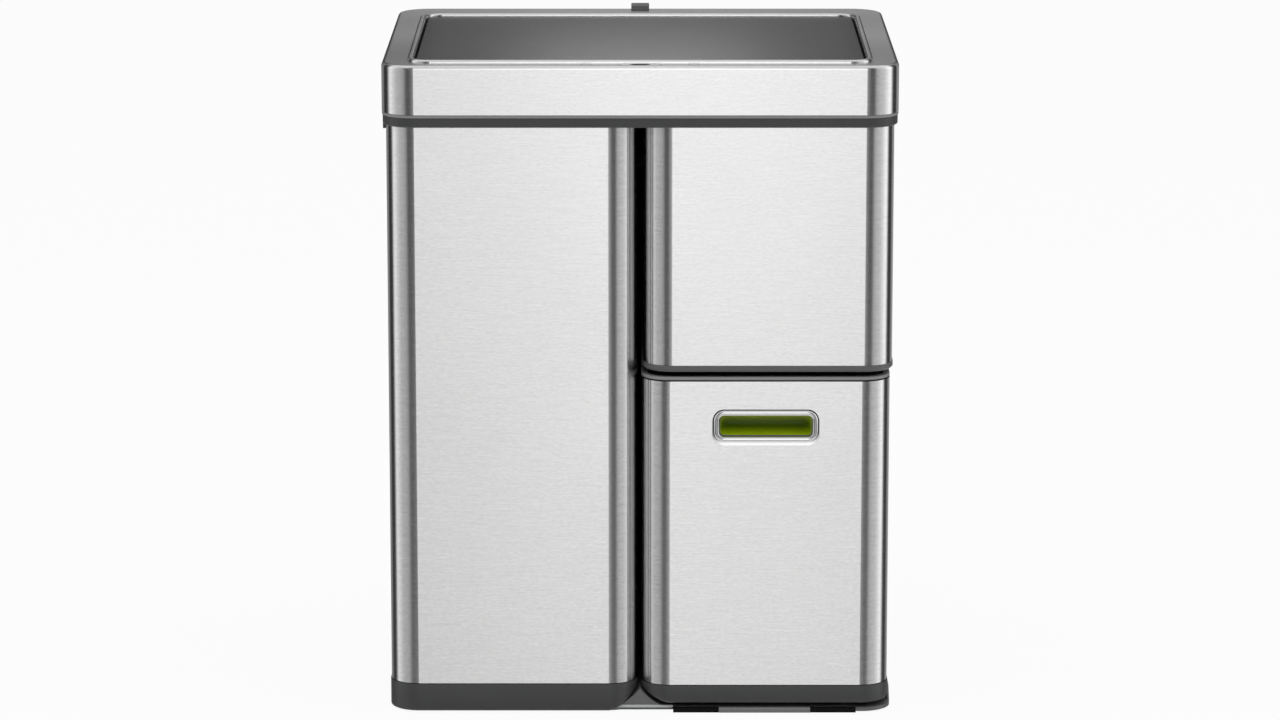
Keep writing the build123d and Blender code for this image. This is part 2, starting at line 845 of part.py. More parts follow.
# Lid: dark panel over a shallow pan that carries the hinge shaft
def build_lid():
    width = mouth_width - 2 * lid_gap
    front = mouth_front + lid_gap
    rear = mouth_rear - lid_rear_gap
    y = (front + rear) / 2
    corner = mouth_corner - lid_gap
    panel_low = rim_top - lid_sheet
    panel = round_top(slab(width, rear - front, corner, panel_low, rim_top, 0.0, y), lid_edge_round)
    keep("lid_panel", panel)
    pan_width = width - 2 * lid_pan_inset
    pan_depth = rear - front - 2 * lid_pan_inset
    pan_corner = corner - lid_pan_inset
    pan_low = panel_low - lid_pan_depth
    pan = slab(pan_width, pan_depth, pan_corner, pan_low, panel_low, 0.0, y)
    wall = 2 * lid_pan_wall
    inner_corner = pan_corner - lid_pan_wall
    well_low = pan_low + lid_pan_floor
    pan -= slab(pan_width - wall, pan_depth - wall, inner_corner, well_low, panel_low, 0.0, y)
    half = pan_width / 2
    bar_half = hinge_bar / 2
    pan += span(-half, half, lid_axis_y - bar_half, lid_axis_y + bar_half, pan_low, panel_low)
    keep("lid_pan", pan - rod_x(shaft_radius, -half, half, lid_axis_y, lid_axis_z))
    keep("lid_shaft", rod_x(shaft_radius, -plate_outside + hub_gap, coarse_end, lid_axis_y, lid_axis_z))
    bushes = Part()
    for side in (-1, 1):
        low_x = min(side * wall_inside, side * plate_outside)
        high_x = max(side * wall_inside, side * plate_outside)
        bush = rod_x(bush_radius, low_x, high_x, lid_axis_y, lid_axis_z)
        bushes += bush - rod_x(shaft_radius + shaft_fit, low_x, high_x, lid_axis_y, lid_axis_z)
    keep("lid_bushes", bushes)
    buffers = Part()
    buffer_top = pan_low - buffer_gap
    for side in (-1, 1):
        buffer_y = mouth_front + ledge_reach - buffer_radius - lid_gap
        buffer_x = side * buffer_spread
        buffers += rod_z(buffer_radius, buffer_top - buffer_height, buffer_top, buffer_x, buffer_y)
    keep("lid_buffers", buffers)


# Collar: drawn steel cover, moulded frame below it and the ring that seats on the columns
def mouth_slab(grow, low, high):
    corner = mouth_corner + grow
    return slab(mouth_width + 2 * grow, mouth_depth + 2 * grow, corner, low, high, 0.0, mouth_y)


def collar_screw_places():
    side_x = body_width / 2 + ring_fit - shelf_width / 2
    end_y = body_depth / 2 + ring_fit - shelf_width / 2
    places = []
    for side in (-1, 1):
        for y in (-side_screw_spread, 0.0, side_screw_spread):
            places.append((side * side_x, y))
        for end in (-1, 1):
            places.append((side * end_screw_spread, end * end_y))
    return places


strip_y = collar_front + strip_inset
board_top = rim_top - board_drop
board_low = board_top - board_thickness
box_front = collar_rear - sheet - box_skirt_gap - box_depth
box_rear = collar_rear - sheet - box_skirt_gap
box_floor = web_top + box_rise
box_half = cell_count * cell_length / 2 + contact_room
door_low = box_floor + door_rise
door_axis_y = collar_rear - door_pin_in
door_axis_z = door_low + door_pin_up
rocker_z = skirt_low + rocker_rise
switch_width = rocker_width + 2 * rocker_room + 2 * switch_wall
switch_tall = rocker_height + 2 * rocker_swing + 2 * switch_wall


def build_collar():
    outer_width = collar_width - 2 * sheet
    outer_depth = collar_depth - 2 * sheet
    outer_corner = collar_corner - sheet
    cover = slab(collar_width, collar_depth, collar_corner, skirt_low, rim_top)
    cover = round_top(cover, edge_round)
    bead = mouth_slab(bead_width, cover_under, rim_top + bead_height)
    bead = round_top(bead, bead_round)
    hollow = slab(outer_width, outer_depth, outer_corner, skirt_low, cover_under)
    hollow = round_top(hollow, edge_round - sheet)
    cover = cover + bead - hollow
    mouth = mouth_slab(0.0, cover_under, rim_top + bead_height)
    cover -= mouth
    inner_edges = cover.edges().filter_by_position(Axis.Z, rim_top + bead_height, rim_top + bead_height)
    near = [edge for edge in inner_edges if edge.distance_to(mouth) < sheet / 4]
    cover = fillet(near, bead_round)
    fit = 2 * window_fit
    cover -= oval(sensor_width + fit, sensor_depth + fit, cover_under, rim_top, 0.0)
    for side in (-1, 1):
        x = side * button_spread
        cover -= oval(button_width + fit, button_depth + fit, cover_under, rim_top, x)
    door_half = box_half + door_gap
    cover -= span(
        -door_half,
        door_half,
        collar_rear - sheet,
        collar_rear,
        door_low - door_foot_gap,
        door_low + door_height + door_gap,
    )
    half_width = switch_width / 2 + switch_fit
    half_tall = switch_tall / 2 + switch_fit
    cover -= span(
        rocker_x - half_width,
        rocker_x + half_width,
        collar_rear - sheet,
        collar_rear,
        rocker_z - half_tall,
        rocker_z + half_tall,
    )
    keep("collar_cover", cover)

    ring = slab(outer_width, outer_depth, outer_corner, collar_low, skirt_low)
    ring = bevel_top(round_foot(ring, ring_low_round), ring_step_height, ring_step_width)
    fit = 2 * ring_fit
    ring -= slab(body_width + fit, body_depth + fit, body_corner + ring_fit, collar_low, seat_z)
    shelf = 2 * (ring_fit - shelf_width)
    shelf_corner = body_corner + ring_fit - shelf_width
    ring -= slab(body_width + shelf, body_depth + shelf, shelf_corner, seat_z, skirt_low)
    catch_front = front_y + catch_inset
    catch_inner = -body_width / 2 - ring_fit
    catch_low = collar_low - catch_drop
    catch_high = skirt_low - ring_step_height
    catch_rear = catch_front + catch_length
    catch = span(-outer_width / 2, catch_inner, catch_front, catch_rear, catch_low, catch_high)
    ring -= catch
    catch = fillet(catch.edges().filter_by(Axis.X).group_by(Axis.Z)[0], catch_drop / 2)
    keep("side_catch", catch)

    frame = slab(outer_width, outer_depth, outer_corner, skirt_low, web_top)
    frame += mouth_slab(mouth_wall, skirt_low, cover_under)
    frame -= mouth_slab(0.0, skirt_low, cover_under)
    plate_front = lid_axis_y - gear_plate_front
    plate_rear = motor_y + gear_plate_rear
    plate_high = cover_under - boss_top_gap
    frame += span(wall_outside, plate_outside, plate_front, plate_rear, skirt_low, plate_high)
    frame += span(
        -plate_outside,
        -wall_outside,
        lid_axis_y - boss_half,
        lid_axis_y + boss_half,
        skirt_low,
        plate_high,
    )
    ledge_top = rim_top - lid_sheet - lid_pan_depth - buffer_gap - buffer_height
    for side in (-1, 1):
        middle = side * buffer_spread
        half = ledge_width / 2
        ledge_low = ledge_top - ledge_thickness
        ledge_rear = mouth_front + ledge_reach
        frame += span(middle - half, middle + half, mouth_front, ledge_rear, ledge_low, ledge_top)
        frame += rod_z(board_post_radius, skirt_low, board_low, side * board_post_spread, strip_y)
        rib_low = side * box_rib_spread - box_rib / 2
        rib_high = side * box_rib_spread + box_rib / 2
        frame += span(rib_low, rib_high, box_front, box_rear - box_lip_setback, skirt_low, box_floor)
    for side in (-1, 1):
        low_x = min(0.0, side * 2 * plate_outside)
        high_x = max(0.0, side * 2 * plate_outside)
        frame -= rod_x(bush_radius, low_x, high_x, lid_axis_y, lid_axis_z)
        hole_low = board_low - board_screw_bite
        post_x = side * board_post_spread
        frame -= rod_z(board_screw_radius + screw_fit, hole_low, board_low, post_x, strip_y)
    for y in (lid_axis_y, second_y):
        frame -= rod_x(axle_radius, wall_outside, plate_outside, y, first_z)
    frame -= rod_x(motor_boss_radius + axle_fit, wall_outside, plate_outside, motor_y, first_z)
    screws = Part()
    for x, y in collar_screw_places():
        frame -= rod_z(collar_screw_radius + screw_fit, skirt_low, web_top, x, y)
        ring -= rod_z(collar_screw_radius + screw_fit, skirt_low - collar_screw_bite, skirt_low, x, y)
        screws += rod_z(collar_screw_radius, skirt_low - collar_screw_bite, web_top, x, y)
        screws += rod_z(collar_screw_head_radius, web_top, web_top + screw_head, x, y)
    keep("mouth_frame", frame)
    keep("collar_ring", ring)
    keep("collar_screws", screws)


def oval(width, depth, low, high, x):
    return Pos(x, strip_y, low) * extrude(SlotOverall(width, depth), high - low)


# Sensor window, two buttons and the board below the front rim
def build_strip():
    lens = oval(sensor_width, sensor_depth, cover_under, rim_top + sensor_proud, 0.0)
    lip = 2 * sensor_lip
    lip_low = cover_under - sensor_lip_thickness
    lens += oval(sensor_width + lip, sensor_depth + lip, lip_low, cover_under, 0.0)
    keep("sensor_lens", lens)
    board = slab(board_length, board_depth, sheet, board_low, board_top, 0.0, strip_y)
    switches = Part()
    screws = Part()
    for side, name in ((-1, "open_button"), (1, "close_button")):
        x = side * button_spread
        switch_top = board_top + switch_height
        switches += slab(switch_size, switch_size, sheet, board_top, switch_top, x, strip_y)
        lip_high = cover_under - button_lip_gap
        lip_base = lip_high - button_lip_thickness
        cap = oval(button_width, button_depth, lip_high, rim_top + button_proud, x)
        cap += oval(button_width + 2 * button_lip, button_depth + 2 * button_lip, lip_base, lip_high, x)
        stem_low = switch_top + button_travel + button_stop_gap
        keep(name, cap + rod_z(button_stem_radius, stem_low, lip_base, x, strip_y))
        screw_x = side * board_post_spread
        board -= rod_z(board_screw_radius + screw_fit, board_low, board_top, screw_x, strip_y)
        screws += rod_z(board_screw_radius, board_low - board_screw_bite, board_top, screw_x, strip_y)
        screws += rod_z(board_screw_head_radius, board_top, board_top + board_screw_head, screw_x, strip_y)
    keep("sensor_board", board)
    keep("button_switches", switches)
    keep("board_screws", screws)


# Cells in a box that opens to the rear, closed by a hinged door with a finger tab
def build_power():
    end = box_half + box_end
    box_top = box_floor + box_height
    box = span(-end, end, box_front, box_rear, box_floor, box_top)
    room_low = box_floor + box_wall
    box -= span(-box_half, box_half, box_front + box_wall, box_rear, room_low, box_top - box_wall)
    box -= span(-box_half, box_half, box_rear - box_lip_setback, box_rear, box_floor, box_top)
    cell_z = box_floor + box_wall + cell_room + cell_radius
    cell_y = box_front + box_wall + cell_room + cell_radius
    box -= rod_x(door_pin_radius + door_pin_fit, -end, end, door_axis_y, door_axis_z)
    keep("battery_box", box)
    cells = Part()
    for index in range(cell_count):
        start = -cell_count * cell_length / 2 + index * cell_length
        nub = start + cell_length - nub_height - cell_play
        cells += rod_x(cell_radius, start, nub, cell_y, cell_z)
        cells += rod_x(nub_radius, nub, nub + nub_height, cell_y, cell_z)
    keep("battery_cells", cells)
    contacts = Part()
    reach = box_half - contact_room
    for side in (-1, 1):
        wall_x = side * box_half
        plate_x = side * (box_half - contact_sheet)
        tip_x = side * reach
        low = box_floor + box_wall
        plate_y = box_front + box_wall
        contacts += span(
            min(wall_x, plate_x),
            max(wall_x, plate_x),
            plate_y,
            plate_y + 2 * cell_radius,
            low,
            low + 2 * cell_radius,
        )
        contacts += rod_x(contact_radius, min(plate_x, tip_x), max(plate_x, tip_x), cell_y, cell_z)
    keep("battery_contacts", contacts)

    half = box_half - door_gap
    door_high = door_low + door_height
    inner = collar_rear - door_thickness
    door = span(-half, half, inner, collar_rear, door_low, door_high)
    bar = door_pin_radius
    door += span(-half, half, door_axis_y - bar, inner, door_axis_z - bar, door_axis_z + bar)
    door += rod_x(door_pin_radius, -half - door_pin_reach, half + door_pin_reach, door_axis_y, door_axis_z)
    tab_half = tab_width / 2
    tab_rear = collar_rear + tab_gap + tab_thickness
    tab_low = rim_top + tab_gap
    tab_front = collar_rear - tab_reach
    hook = span(-tab_half, tab_half, tab_front, tab_rear, tab_low, tab_low + tab_height)
    hook = fillet(hook.faces().sort_by(Axis.Z)[-1].edges(), tab_round)
    root_low = door_high - tab_root
    hook += span(-tab_half, tab_half, collar_rear + tab_gap, tab_rear, root_low, tab_low + tab_height / 2)
    hook += span(-tab_half, tab_half, inner, tab_rear, root_low, door_high - tab_gap)
    keep("battery_door", door + hook)

    flange_back = collar_rear + switch_flange_thickness
    wide = switch_width / 2
    tall = switch_tall / 2
    back = collar_rear - switch_depth
    case = span(rocker_x - wide, rocker_x + wide, back, flange_back, rocker_z - tall, rocker_z + tall)
    more = switch_flange + switch_fit
    case += span(
        rocker_x - wide - more,
        rocker_x + wide + more,
        collar_rear,
        flange_back,
        rocker_z - tall - more,
        rocker_z + tall + more,
    )
    room_wide = wide - switch_wall
    room_tall = tall - switch_wall
    case -= span(
        rocker_x - room_wide,
        rocker_x + room_wide,
        back + switch_wall,
        flange_back,
        rocker_z - room_tall,
        rocker_z + room_tall,
    )
    pin_y = collar_rear - rocker_pin_in
    pin_half = rocker_width / 2 + rocker_pin_reach
    hole = rocker_pin_radius + axle_fit
    reach = pin_half + rocker_room
    case -= rod_x(hole, rocker_x - reach, rocker_x + reach, pin_y, rocker_z)
    keep("switch_housing", case)
    paddle_rear = collar_rear + rocker_proud
    paddle = span(
        -rocker_width / 2,
        rocker_width / 2,
        paddle_rear - rocker_depth - pin_y,
        paddle_rear - pin_y,
        -rocker_height / 2,
        rocker_height / 2,
    )
    paddle += rod_x(rocker_pin_radius, -pin_half, pin_half, 0.0, 0.0)
    keep("power_rocker", Pos(rocker_x, pin_y, rocker_z) * Rot(-rocker_tilt, 0, 0) * paddle)

    cable_z = (board_low + board_top) / 2
    side_x = -collar_width / 2 + wire_side
    rear_line = collar_rear - wire_rear
    route = FilletPolyline(
        (-board_length / 2, strip_y, cable_z),
        (side_x, strip_y, cable_z),
        (side_x, rear_line, cable_z),
        (-end, rear_line, cable_z),
        radius=wire_bend,
    )
    wires = sweep(Plane(route @ 0, z_dir=route % 0) * Circle(wire_radius), path=route)
    motor_back = wall_outside - motor_length
    lead_z = rim_top - lead_drop - wire_radius * 4
    gap = (motor_back - end) / 3
    route = FilletPolyline(
        (end, rear_line, lead_z),
        (end + gap, rear_line, lead_z),
        (end + 2 * gap, motor_y, first_z),
        (motor_back, motor_y, first_z),
        radius=wire_bend,
    )
    wires += sweep(Plane(route @ 0, z_dir=route % 0) * Circle(wire_radius), path=route)
    keep("wire_harness", wires)


build_base()
build_columns()
build_caddy()
build_drive()
build_lid()
build_collar()
build_strip()
build_power()
os.makedirs("parts", exist_ok=True)
for name, body in pieces.items():
    export_step(body, f"parts/{name}.step")
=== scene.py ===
import math
import bmesh
import bpy
from mathutils import Matrix, Vector


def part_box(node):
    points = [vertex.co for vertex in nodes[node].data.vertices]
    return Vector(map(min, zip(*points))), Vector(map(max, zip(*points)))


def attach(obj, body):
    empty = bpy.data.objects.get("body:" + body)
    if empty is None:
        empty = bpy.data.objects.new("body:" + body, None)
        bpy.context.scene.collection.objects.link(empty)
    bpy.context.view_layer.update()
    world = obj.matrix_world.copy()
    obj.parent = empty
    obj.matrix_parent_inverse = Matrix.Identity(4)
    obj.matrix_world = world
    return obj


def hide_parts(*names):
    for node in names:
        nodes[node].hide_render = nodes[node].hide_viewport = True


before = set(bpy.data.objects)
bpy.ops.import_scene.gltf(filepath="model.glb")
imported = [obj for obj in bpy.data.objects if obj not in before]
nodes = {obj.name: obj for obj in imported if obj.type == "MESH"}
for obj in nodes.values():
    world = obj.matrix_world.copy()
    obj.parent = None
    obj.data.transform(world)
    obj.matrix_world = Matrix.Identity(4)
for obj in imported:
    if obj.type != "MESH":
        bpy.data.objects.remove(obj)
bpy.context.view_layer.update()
scene = bpy.context.scene
scene.view_settings.view_transform = "Standard"
print("frame loaded:", len(nodes), "solids")

noiseSpan = (0.25, 0.75)        # where most of a noise lies


class Wire:
    def __init__(self, tree, socket=None):
        self.tree = tree
        self.socket = socket

    def add(self, kind, settings=None, sockets=None, out=0):
        node = self.tree.nodes.new(kind)
        for name, value in (settings or {}).items():
            if name == "stops":
                places, tones = zip(*value)
                steps = node.color_ramp.elements
                steps[0].position = places[0]
                steps[1].position = places[-1]
                for place in places[1:-1]:
                    steps.new(place)
                for step, tone in zip(steps, tones):
                    step.color = (tone, tone, tone, 1)
            else:
                setattr(node, name, value)
        for name, value in (sockets or {}).items():
            if isinstance(value, Wire):
                self.tree.links.new(value.socket, node.inputs[name])
            else:
                node.inputs[name].default_value = value
        return Wire(self.tree, node.outputs[out] if node.outputs else None)

    def also(self, out):        # another output of the same node
        return Wire(self.tree, self.socket.node.outputs[out])

    def math(self, operation, first, second=0.0):
        return self.add("ShaderNodeMath", {"operation": operation}, {0: first, 1: second})

    def __add__(self, other):
        return self.math("ADD", self, other)

    def __radd__(self, other):
        return self.math("ADD", other, self)

    def __sub__(self, other):
        return self.math("SUBTRACT", self, other)

    def __rsub__(self, other):
        return self.math("SUBTRACT", other, self)

    def __mul__(self, other):
        return self.math("MULTIPLY", self, other)

    def __rmul__(self, other):
        return self.math("MULTIPLY", other, self)

    def __truediv__(self, other):
        return self.math("DIVIDE", self, other)

    def between(self, low, high, fromLow, fromHigh, curve="LINEAR"):
        return self.add("ShaderNodeMapRange", {"interpolation_type": curve},
                        {"Value": self, "From Min": fromLow, "From Max": fromHigh,
                         "To Min": low, "To Max": high})

    def soft(self, low, high):      # 0 to 1, eased at both ends
        return self.between(0.0, 1.0, low, high, "SMOOTHSTEP")

    def around(self, middle, spread):       # a noise, to a range about a value
        return self.between(middle - spread, middle + spread, *noiseSpan)

    def ramp(self, stops):
        return self.add("ShaderNodeValToRGB", {"stops": stops}, {"Fac": self})

    def blend(self, first, second):     # colours, by this factor
        return self.add("ShaderNodeMix", {"data_type": "RGBA"},
                        {0: self, 6: first, 7: second}, out=2)

    def noise(self, scale, detail, stretch=None):
        place = self
        if stretch:
            place = self.add("ShaderNodeMapping", {}, {"Vector": self, "Scale": stretch})
        return self.add("ShaderNodeTexNoise", {},
                        {"Vector": place, "Scale": scale, "Detail": detail})


def freshWire(owner):       # an empty node tree for a world or a material
    owner.use_nodes = True
    owner.node_tree.nodes.clear()
    return Wire(owner.node_tree)


def mixed(share, first, second):        # wires or plain numbers
    return first * (1.0 - share) + second * share


def rgba(colour):
    return (colour[0], colour[1], colour[2], 1.0)


# camera, at the photograph's standing point
cameraLook = {"aim": (-0.00019, 0.0, 0.31298), "distance": 5.0, "elevation": 11.824,
              "lens": 138.78, "sensor": 36.0}


def setCamera(look):
    rise = math.radians(look["elevation"])
    data = bpy.data.cameras.new("studioCamera")
    data.lens = look["lens"]
    data.sensor_width = look["sensor"]
    camera = bpy.data.objects.new("studioCamera", data)
    away = Vector((0.0, -math.cos(rise), math.sin(rise)))
    camera.location = Vector(look["aim"]) + look["distance"] * away
    camera.rotation_euler = (math.pi / 2 - rise, 0.0, 0.0)
    scene.collection.objects.link(camera)
    scene.camera = camera


setCamera(cameraLook)
print("camera set")

# studio: grey panels stand round the object, white ones between them, an open top above;
# ramps are (place, tone), the panels from front to rear and the others from below to above
studioLook = {
    "panels": [(0.0, 1.0), (0.005, 0.97), (0.012, 0.86), (0.02, 0.75), (0.03, 0.6), (0.04, 0.45),
               (0.06, 0.18), (0.085, 0.03), (0.155, 0.03), (0.2, 0.29), (0.25, 0.41), (0.36, 0.52),
               (0.45, 0.8), (0.5, 1.0), (0.535, 0.92), (0.575, 0.3), (0.598, 0.03), (0.715, 0.025),
               (0.755, 0.2), (0.8, 0.28), (0.87, 0.45), (0.915, 0.3), (0.935, 0.1), (0.958, 0.1),
               (0.98, 0.92), (1.0, 0.92)],
    "front": [(0.0, 0.26), (0.3, 0.26), (0.363, 0.345), (0.4225, 0.76), (0.455, 1.03), (0.6, 1.0),
              (0.75, 0.77), (1.0, 0.77)],
    "sides": [(0.0, 0.6), (0.36, 0.6), (0.39, 0.74), (0.42, 0.95), (0.5, 1.0), (1.0, 1.0)],
    "frontGain": 1.8, "sideGain": 1.28, "aside": (0.03, 0.12), "lean": (0.9, 1.12, -0.05, 0.05),
    "rear": 0.26, "rearTurn": (0.72, 0.9), "rearUp": (-0.22, -0.10),
    "top": 0.8, "overhead": (0.5, 0.85),
    "below": (-0.54, -0.38), "floorFront": 0.33, "floorSide": 0.72,
    "near": (-0.78, -0.5), "floorNear": 0.86,
}


def buildStudio(look):
    world = bpy.data.worlds.new("studio")
    scene.world = world
    wire = freshWire(world)
    ray = wire.add("ShaderNodeLightPath", out="Is Camera Ray")
    way = wire.add("ShaderNodeTexCoord", out="Generated")
    east = wire.add("ShaderNodeSeparateXYZ", {}, {"Vector": way}, out="X")
    north = east.also("Y")
    up = east.also("Z")
    turn = wire.math("ABSOLUTE", wire.math("ARCTAN2", east, -1.0 * north)) / math.pi
    height = up * 0.5 + 0.5
    front = height.ramp(look["front"]) * look["frontGain"]
    sides = height.ramp(look["sides"]) * look["sideGain"]
    aside = turn.soft(*look["aside"])
    lean = east.between(*look["lean"])
    rearShade = 1.0 - (1.0 - look["rear"]) * turn.soft(*look["rearTurn"]) * up.soft(*look["rearUp"])
    walls = turn.ramp(look["panels"]) * mixed(aside, front, sides) * lean * rearShade
    below = 1.0 - up.soft(*look["below"])
    near = 1.0 - up.soft(*look["near"])
    ground = mixed(near, mixed(aside, look["floorFront"], look["floorSide"]), look["floorNear"])
    tone = mixed(up.soft(*look["overhead"]), mixed(below, walls, ground), look["top"])
    seen = wire.math("MAXIMUM", ray, ray.also("Is Transmission Ray"))
    light = wire.add("ShaderNodeBackground", {}, {"Color": mixed(seen, tone, 1.0), "Strength": 1.0})
    wire.add("ShaderNodeOutputWorld", {}, {"Surface": light})


buildStudio(studioLook)

lampLook = {
    "overSoft": {"at": (0.0, -0.4, 2.6), "aim": (0.0, 0.0, 0.5), "size": (3.0, 2.4),
                 "power": 20.0, "shine": False},
    "lidSoft": {"at": (0.0, 0.5, 1.0), "aim": (0.0, -0.1, 0.644), "size": (0.25, 0.15),
                "power": 0.58, "shine": True},
}


def hangLamp(name, look, only=None):
    data = bpy.data.lights.new(name, "AREA")
    data.shape = "RECTANGLE"
    data.size, data.size_y = look["size"]
    data.energy = look["power"]
    lamp = bpy.data.objects.new(name, data)
    lamp.location = look["at"]
    way = Vector(look["aim"]) - Vector(look["at"])
    lamp.rotation_euler = way.to_track_quat("-Z", "Y").to_euler()
    lamp.visible_camera = False
    lamp.visible_glossy = look["shine"]
    scene.collection.objects.link(lamp)
    if only:        # a small lamp that lights one piece
        group = bpy.data.collections.new(name + "Group")
        group.objects.link(only)
        lamp.light_linking.receiver_collection = group


hangLamp("overSoft", lampLook["overSoft"])

floorLook = {"half": 9.0, "colour": (0.86, 0.86, 0.86), "glow": (1.0, 1.0, 1.0), "shadow": 0.07}


def layFloor(look):
    mesh = bmesh.new()
    bmesh.ops.create_grid(mesh, x_segments=1, y_segments=1, size=look["half"])
    data = bpy.data.meshes.new("studioFloor")
    mesh.to_mesh(data)
    mesh.free()
    floor = bpy.data.objects.new("studioFloor", data)
    scene.collection.objects.link(floor)
    material = bpy.data.materials.new("floorPaint")
    wire = freshWire(material)
    ray = wire.add("ShaderNodeLightPath", out="Is Camera Ray")
    paint = wire.add("ShaderNodeBsdfDiffuse", {}, {"Color": rgba(look["colour"])})
    glow = wire.add("ShaderNodeEmission", {}, {"Color": rgba(look["glow"]), "Strength": 1.0})
    bright = ray * (1.0 - look["shadow"])
    cover = wire.add("ShaderNodeMixShader", {}, {0: bright, 1: paint, 2: glow})
    wire.add("ShaderNodeOutputMaterial", {}, {"Surface": cover})
    data.materials.append(material)
    floor.visible_glossy = False


layFloor(floorLook)
print("studio lit")

finishes = {}


def startFinish(name):
    finishes[name] = bpy.data.materials.new(name + "Finish")
    wire = freshWire(finishes[name])
    return wire, wire.add("ShaderNodeTexCoord", out="Object")


def sealFinish(wire, sockets):
    shader = wire.add("ShaderNodeBsdfPrincipled", {}, sockets)
    wire.add("ShaderNodeOutputMaterial", {}, {"Surface": shader})


# brushed steel: hair lines run level round the walls and along X on the flat tops
steelLook = {
    "dark": (0.69, 0.69, 0.69), "light": (0.89, 0.89, 0.887), "rough": 0.24, "spread": 0.015,
    "anisotropy": 0.9, "turn": 0.25, "flat": (0.6, 0.9), "hair": 1.0,
    "long": (34, 34, 1150), "short": (240, 240, 640), "shortShare": 0.6, "tops": (26, 620, 620),
    "cloud": 7, "cloudShare": 0.25, "strength": 0.06, "depth": 0.00002,
}


def brushedSteel(name, look):
    wire, place = startFinish(name)
    facing = wire.add("ShaderNodeNewGeometry", out="Normal")
    upright = wire.add("ShaderNodeSeparateXYZ", {}, {"Vector": facing}, out="Z")
    flat = wire.math("ABSOLUTE", upright).soft(*look["flat"])
    longHair = place.noise(look["hair"], detail=1, stretch=look["long"])
    shortHair = place.noise(look["hair"], detail=2, stretch=look["short"])
    walls = mixed(look["shortShare"], longHair, shortHair)
    hair = mixed(flat, walls, place.noise(look["hair"], detail=2, stretch=look["tops"]))
    cloud = place.noise(look["cloud"], detail=2)
    streak = mixed(look["cloudShare"], hair.between(0.0, 1.0, *noiseSpan), cloud)
    bump = wire.add("ShaderNodeBump", {},
                    {"Height": walls * (1.0 - flat), "Strength": look["strength"],
                     "Distance": look["depth"]})
    sealFinish(wire, {
        "Base Color": streak.blend(rgba(look["dark"]), rgba(look["light"])), "Metallic": 1.0,
        "Roughness": hair.around(look["rough"], look["spread"]), "Anisotropic": look["anisotropy"],
        "Anisotropic Rotation": look["turn"], "Normal": bump})


brushedSteel("steel", steelLook)

# moulded plastics and rubber: slow colour drift under a fine spark grain
mouldedLooks = {
    "charcoal": {"dark": (0.050, 0.051, 0.053), "light": (0.070, 0.071, 0.073),
                 "rough": 0.45, "grain": 900, "depth": 0.00006},
    "lid_dark": {"dark": (0.024, 0.024, 0.025), "light": (0.034, 0.034, 0.035),
                 "rough": 0.42, "grain": 1600, "depth": 0.00002},
    "liner": {"dark": (0.022, 0.022, 0.023), "light": (0.034, 0.034, 0.035),
              "rough": 0.55, "grain": 700, "depth": 0.00008},
    "rubber": {"dark": (0.004, 0.004, 0.004), "light": (0.009, 0.009, 0.009),
               "rough": 0.85, "grain": 800, "depth": 0.0001, "gloss": 0.15},
    "grey_plastic": {"dark": (0.26, 0.26, 0.265), "light": (0.33, 0.33, 0.335),
                     "rough": 0.42, "grain": 1100, "depth": 0.00004},
    "upperRing": {"dark": (0.112, 0.113, 0.115), "light": (0.152, 0.153, 0.155),
                  "rough": 0.42, "grain": 900, "depth": 0.00006},
    "doorGrey": {"dark": (0.10, 0.101, 0.103), "light": (0.14, 0.141, 0.143),
                 "rough": 0.45, "grain": 900, "depth": 0.00006},
    # plate: a lighter copy of the charcoal, painted light that makes up for the shade the base
    # plate and ridge lie in
    "plate": {"dark": (0.12, 0.121, 0.123), "light": (0.17, 0.171, 0.173),
              "rough": 0.4, "grain": 900, "depth": 0.00006},
    "lip": {"dark": (0.19, 0.19, 0.195), "light": (0.24, 0.24, 0.245),
            "rough": 0.42, "grain": 1100, "depth": 0.00004},
    "nylon": {"dark": (0.62, 0.61, 0.56), "light": (0.75, 0.74, 0.69),
              "rough": 0.4, "grain": 1000, "depth": 0.00003},
    "lens": {"dark": (0.006, 0.004, 0.006), "light": (0.012, 0.008, 0.011),
             "rough": 0.18, "grain": 300, "depth": 0.000005, "gloss": 0.2},
    "button": {"dark": (0.55, 0.56, 0.57), "light": (0.66, 0.67, 0.68),
               "rough": 0.35, "grain": 1500, "depth": 0.00002},
    "wire": {"dark": (0.30, 0.015, 0.012), "light": (0.42, 0.03, 0.022),
             "rough": 0.45, "grain": 1500, "depth": 0.00004},
    "board": {"dark": (0.010, 0.075, 0.028), "light": (0.018, 0.12, 0.045),
              "rough": 0.32, "grain": 500, "depth": 0.00003},
}
mouldedShape = {"drift": 9, "grainShare": 0.45, "spread": 0.08, "strength": 0.5, "gloss": 0.5}


def moulded(name, look, shape):
    wire, place = startFinish(name)
    drift = place.noise(shape["drift"], detail=3)
    grain = place.noise(look["grain"], detail=2)
    tint = mixed(shape["grainShare"], drift, grain)
    bump = wire.add("ShaderNodeBump", {},
                    {"Height": grain, "Strength": shape["strength"], "Distance": look["depth"]})
    sealFinish(wire, {
        "Base Color": tint.blend(rgba(look["dark"]), rgba(look["light"])),
        "Roughness": grain.around(look["rough"], shape["spread"]),
        "Specular IOR Level": look.get("gloss", shape["gloss"]), "Normal": bump})


for finishName, finishLook in mouldedLooks.items():
    moulded(finishName, finishLook, mouldedShape)

# green plastic of the finger cup, with painted light and shade: painted light along its lip and
# floor, painted shade where it runs back, and a paler painted light on its upper wall
cupPaintedLightLook = {
    "paintedLit": (0.56, 0.74, 0.004), "paintedDeepShade": (0.085, 0.145, 0.002), "upper": (0.42, 0.49, 0.10),
    "inside": (-0.199, -0.180), "middle": 0.2892, "half": 0.0105,
    "roof": (0.3, 0.9), "floor": (-1.0, -0.35), "pale": (-0.1, 0.6),
    "rough": 0.4, "spread": 0.05, "gloss": 0.3, "grain": 600, "grainShare": 0.06,
}


